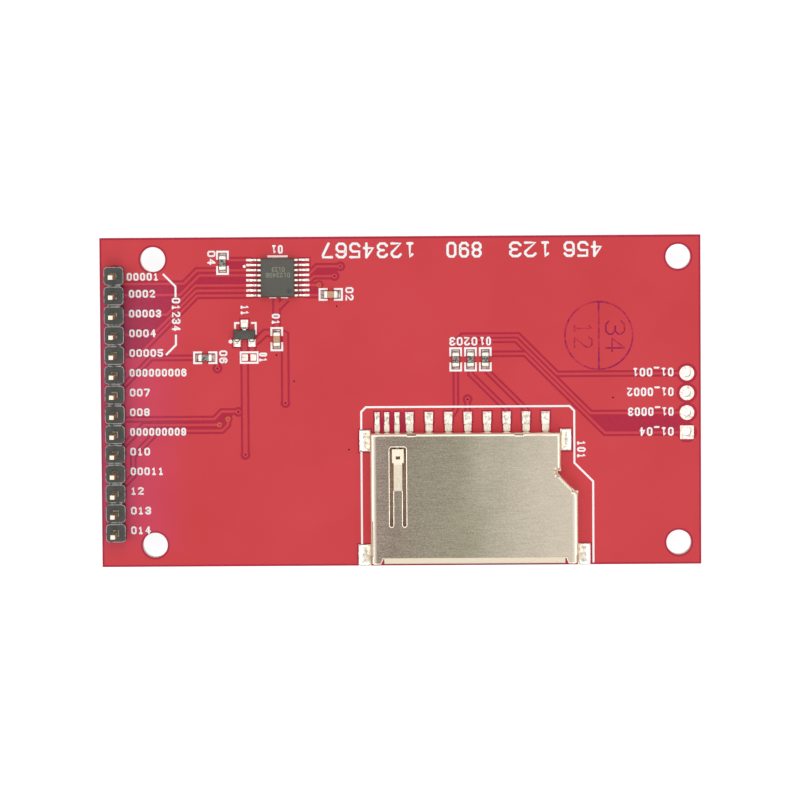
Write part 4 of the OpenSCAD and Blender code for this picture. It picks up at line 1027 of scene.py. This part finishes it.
def place_copies(name, model, places, material):
    """Copies of a model, each with its own mesh, joined into one piece. Each place: point, turn."""
    made = []
    for point, turn in places:
        copy = bpy.data.objects.new(name, model.data.copy())
        scene.collection.objects.link(copy)
        copy.location = point
        copy.rotation_euler.z = turn
        made.append(copy)
    bpy.data.objects.remove(model)
    bpy.ops.object.select_all(action="DESELECT")
    for copy in made:
        copy.select_set(True)
    bpy.context.view_layer.objects.active = made[0]
    bpy.ops.object.transform_apply(location=True, rotation=True, scale=True)
    if len(made) > 1:
        bpy.ops.object.join()
    piece = bpy.context.object
    piece.name = name
    finish_with(piece, material)
    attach(piece, "root")
    return piece


SOLDER_SINK = 0.01 * MM
# Height of each kind of solder, and the brow that its mound is drawn in to
LEAD_SOLDER = (0.24 * MM, 0.8)
REGULATOR_SOLDER = (0.28 * MM, 0.62)
CONTACT_SOLDER = (0.24 * MM, 0.72)
FOOT_SOLDER = (0.34 * MM, 0.78)
PART_END_SOLDER = Vector((0.42, 0.85, 0.42)) * MM
# Share of its pad that solder covers
PAD_SHARE = 0.97

LEAD_PAD_LENGTH = 0.95 * MM
LEAD_PAD_REACH = 0.35 * MM
# Width of a lead's pad, in widths of the lead
LEAD_PAD_SPREAD = 1.25
REGULATOR_HEAP = 0.85 * MM
REGULATOR_HEAP_BACK = 0.12 * MM
WIDE_PAD = 0.9 * MM
CONTACT_TAIL_COVER = 0.42 * MM
# Shortest and longest pad of a foot, and how much of the pad shows beside a left and a right foot
FOOT_PAD_LENGTH = (2.6 * MM, 2.9 * MM)
FOOT_SHOWS = (0.05 * MM, 0.12 * MM)
CHIP_PARTS = ("resistor_1", "resistor_2", "resistor_3", "resistor_4", "resistor_6",
              "capacitor_1", "capacitor_2")


def on_pad(x, y):
    return Vector((x, y, PAD_TOP - SOLDER_SINK))


def solder_chip_leads():
    """Solder drawn up round each lead's foot and out to the end of its pad."""
    centre = middle(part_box("touch_chip"))
    places = []
    for low, high in islands("touch_chip_leads"):
        side = 1 if low.x > centre.x else -1
        toe = high.x if side > 0 else low.x
        places.append((on_pad(toe + side * (LEAD_PAD_REACH - LEAD_PAD_LENGTH / 2),
                              (low.y + high.y) / 2), 0 if side > 0 else math.pi))
    height, brow = LEAD_SOLDER
    width = (high.y - low.y) * LEAD_PAD_SPREAD
    model = mound(Vector((LEAD_PAD_LENGTH, width, height)), brow)
    place_copies("chip_lead_solder", model, places, FINISHES["solder"])


def solder_regulator():
    """A heap of solder over the foot of each of the three leads."""
    centre = middle(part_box("regulator"))
    places = []
    for low, high in islands("regulator_leads"):
        side = 1 if low.y > centre.y else -1
        toe = high.y if side > 0 else low.y
        places.append((on_pad((low.x + high.x) / 2, toe - side * REGULATOR_HEAP_BACK),
                       side * math.pi / 2))
    height, brow = REGULATOR_SOLDER
    model = mound(Vector((REGULATOR_HEAP, REGULATOR_HEAP, height)), brow)
    place_copies("regulator_solder", model, places, FINISHES["solder"])


def solder_part_ends():
    """A concave fillet from the end of each chip part down to the edge of its pad."""
    places = []
    for part in CHIP_PARTS:
        centre = middle(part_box(part))
        for box in islands(part + "_ends"):
            out = middle(box) - centre
            along_x = abs(out.x) > abs(out.y)
            turn = math.atan2(0 if along_x else out.y, out.x if along_x else 0)
            reach = (box[1] - box[0]).x / 2 if along_x else (box[1] - box[0]).y / 2
            step = Vector((math.cos(turn), math.sin(turn), 0)) * (reach + PART_END_SOLDER.x / 2)
            spot = middle(box) + step
            places.append((on_pad(spot.x, spot.y), turn))
    place_copies("part_end_solder", fillet(PART_END_SOLDER), places, FINISHES["solder"])


def solder_contacts():
    """A dome over the rear half of each socket contact's pad, as wide as the pad."""
    pads = islands("back_pads")
    tails = islands("card_contacts") + islands("detect_contacts")
    grey_solder = flux_dulled_solder()
    height, brow = CONTACT_SOLDER
    for name, wide in (("contact_solder", True), ("narrow_contact_solder", False)):
        places = []
        for low, high in tails:
            x = (low.x + high.x) / 2
            pad = min(pads, key=lambda box: (middle(box) - Vector((x, high.y, PAD_TOP))).length)
            width = pad[1].x - pad[0].x
            if (width > WIDE_PAD) == wide:
                size = Vector((pad[1].y - high.y + CONTACT_TAIL_COVER, width * PAD_SHARE, height))
                places.append((on_pad(x, pad[1].y - size.x / 2), math.pi / 2))
        place_copies(name, mound(size, brow), places, grey_solder)


def solder_feet():
    """Solder that drowns the outer part of each of the shell's four feet."""
    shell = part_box("socket_shell")
    shortest, longest = FOOT_PAD_LENGTH
    height, brow = FOOT_SOLDER
    feet = [box for box in islands("back_pads") if shortest < (box[1] - box[0]).y < longest]
    for number, pad in enumerate(feet, 1):
        left = middle(pad).x < middle(shell).x
        shows = FOOT_SHOWS[0] if left else FOOT_SHOWS[1]
        size = pad[1] - pad[0]
        model = mound(Vector((size.x - shows, size.y * PAD_SHARE, height)), brow)
        spot = on_pad(middle(pad).x + (-shows if left else shows) / 2, middle(pad).y)
        place_copies(f"foot_solder_{number}", model, [(spot, math.pi if left else 0)],
                     FINISHES["solder"])


# ---- Vias ----

VIA_HOLE_RADIUS = 0.13 * MM
COVERED_RADIUS = 0.21 * MM
OPEN_RING_WIDTH = 0.5 * MM
PLUG_SIDES = 16
PLUG_HEIGHT = 0.06 * MM
PLUG_HOLLOW_RADIUS = 0.9 * VIA_HOLE_RADIUS
PLUG_HOLLOW_DEPTH = 0.02 * MM


def plug_vias():
    """Resist sunk into each via; where it covers the ring too, it shows as a flat collar."""
    covered_finish = resist_plug()
    open_finish = FINISHES["lacquered_laminate"]
    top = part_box("back_copper")[1].z
    floor = top + PLUG_HEIGHT / 2 - PLUG_HOLLOW_DEPTH
    for name, covered in (("covered_via_plugs", True), ("open_via_plugs", False)):
        radius = COVERED_RADIUS if covered else VIA_HOLE_RADIUS
        bpy.ops.object.select_all(action="DESELECT")
        bpy.ops.mesh.primitive_cylinder_add(vertices=PLUG_SIDES, radius=radius, depth=PLUG_HEIGHT)
        model = bpy.context.object
        bpy.ops.object.mode_set(mode="EDIT")
        pick_corners(model, lambda place: place.z > 0)
        bpy.ops.mesh.inset(thickness=radius - PLUG_HOLLOW_RADIUS)
        bpy.ops.transform.translate(value=(0, 0, -PLUG_HOLLOW_DEPTH))
        bpy.ops.object.mode_set(mode="OBJECT")
        places = [(Vector((middle(box).x, middle(box).y, top)), 0)
                  for box in islands("vias", top - SURFACE_SLACK)
                  if ((box[1] - box[0]).x < OPEN_RING_WIDTH) == covered]
        piece = place_copies(name, model, places, covered_finish if covered else open_finish)
        if covered:
            piece.data.materials.append(FINISHES["lacquered_copper"])
            # Sunk faces wear the via resist with its painted shade, the rest the resist over copper
            for face in piece.data.polygons:
                sunk = face.center.z < floor + SURFACE_SLACK and face.normal.z > LEVEL_NORMAL
                face.material_index = 0 if sunk else 1


# ---- Light and floor ----

WORLD_FILL = 0.5
LAMP_SIZE = 400 * MM
LAMP_DISTANCE = 900 * MM
LAMP_ELEVATION = math.radians(60)
LAMP_POWER = 1.15
FLOOR_GLOW = 0.9
FLOOR_COLOUR = "#909090"
FLOOR_SIZE = 4


def seen_directly(tree):
    """1 for camera, glossy and transmission rays, 0 for the rays that carry light to the object."""
    rays = add_node(tree, "LightPath").outputs
    glossy = add_node(tree, "Math", {0: rays["Is Camera Ray"], 1: rays["Is Glossy Ray"]},
                      operation="MAXIMUM")
    seen = add_node(tree, "Math", {0: glossy.outputs[0], 1: rays["Is Transmission Ray"]},
                    operation="MAXIMUM")
    return seen.outputs[0]


def light_world():
    world = bpy.data.worlds.new("studio")
    scene.world = world
    world.use_nodes = True
    tree = world.node_tree
    tree.nodes.clear()
    strength = add_node(tree, "MapRange", {"Value": seen_directly(tree), "To Min": WORLD_FILL,
                                           "To Max": 1.0})
    background = add_node(tree, "Background", {"Color": (1, 1, 1, 1),
                                               "Strength": strength.outputs[0]})
    add_node(tree, "OutputWorld", {"Surface": background.outputs[0]})


def hang_lamps():
    """Four soft boxes, one over each side of the object."""
    for number in range(4):
        turn = math.radians(90 * number)
        data = bpy.data.lights.new(f"soft_box_{number + 1}", "AREA")
        data.size = LAMP_SIZE
        data.energy = LAMP_POWER
        lamp = bpy.data.objects.new(data.name, data)
        scene.collection.objects.link(lamp)
        place = Vector((math.cos(turn) * math.cos(LAMP_ELEVATION),
                        math.sin(turn) * math.cos(LAMP_ELEVATION), math.sin(LAMP_ELEVATION)))
        lamp.location = place * LAMP_DISTANCE
        lamp.rotation_euler = place.to_track_quat("Z", "Y").to_euler()


def lay_floor():
    bpy.ops.object.select_all(action="DESELECT")
    bpy.ops.mesh.primitive_plane_add(size=FLOOR_SIZE)
    floor = bpy.context.object
    floor.name = "floor"
    material, tree, shader = new_material("pale_floor", FLOOR_COLOUR, 0.9, others={
        "Specular IOR Level": 0.0, "Emission Color": (1, 1, 1, 1)})
    glow = add_node(tree, "Math", {0: seen_directly(tree), 1: FLOOR_GLOW}, operation="MULTIPLY")
    tree.links.new(glow.outputs[0], shader.inputs["Emission Strength"])
    finish_with(floor, material)


place_camera()
light_world()
hang_lamps()
lay_floor()
finish_nodes()
# The header strip's broken edges carry a painted highlight
soften("header_strip", HEADER_EDGE, scuffed_nylon())
soften("touch_chip", CHIP_EDGE)
pierced_shell()
punched_rims()
print_labels()
solder_chip_leads()
solder_regulator()
solder_part_ends()
solder_contacts()
solder_feet()
plug_vias()
scene.view_settings.view_transform = "Standard"
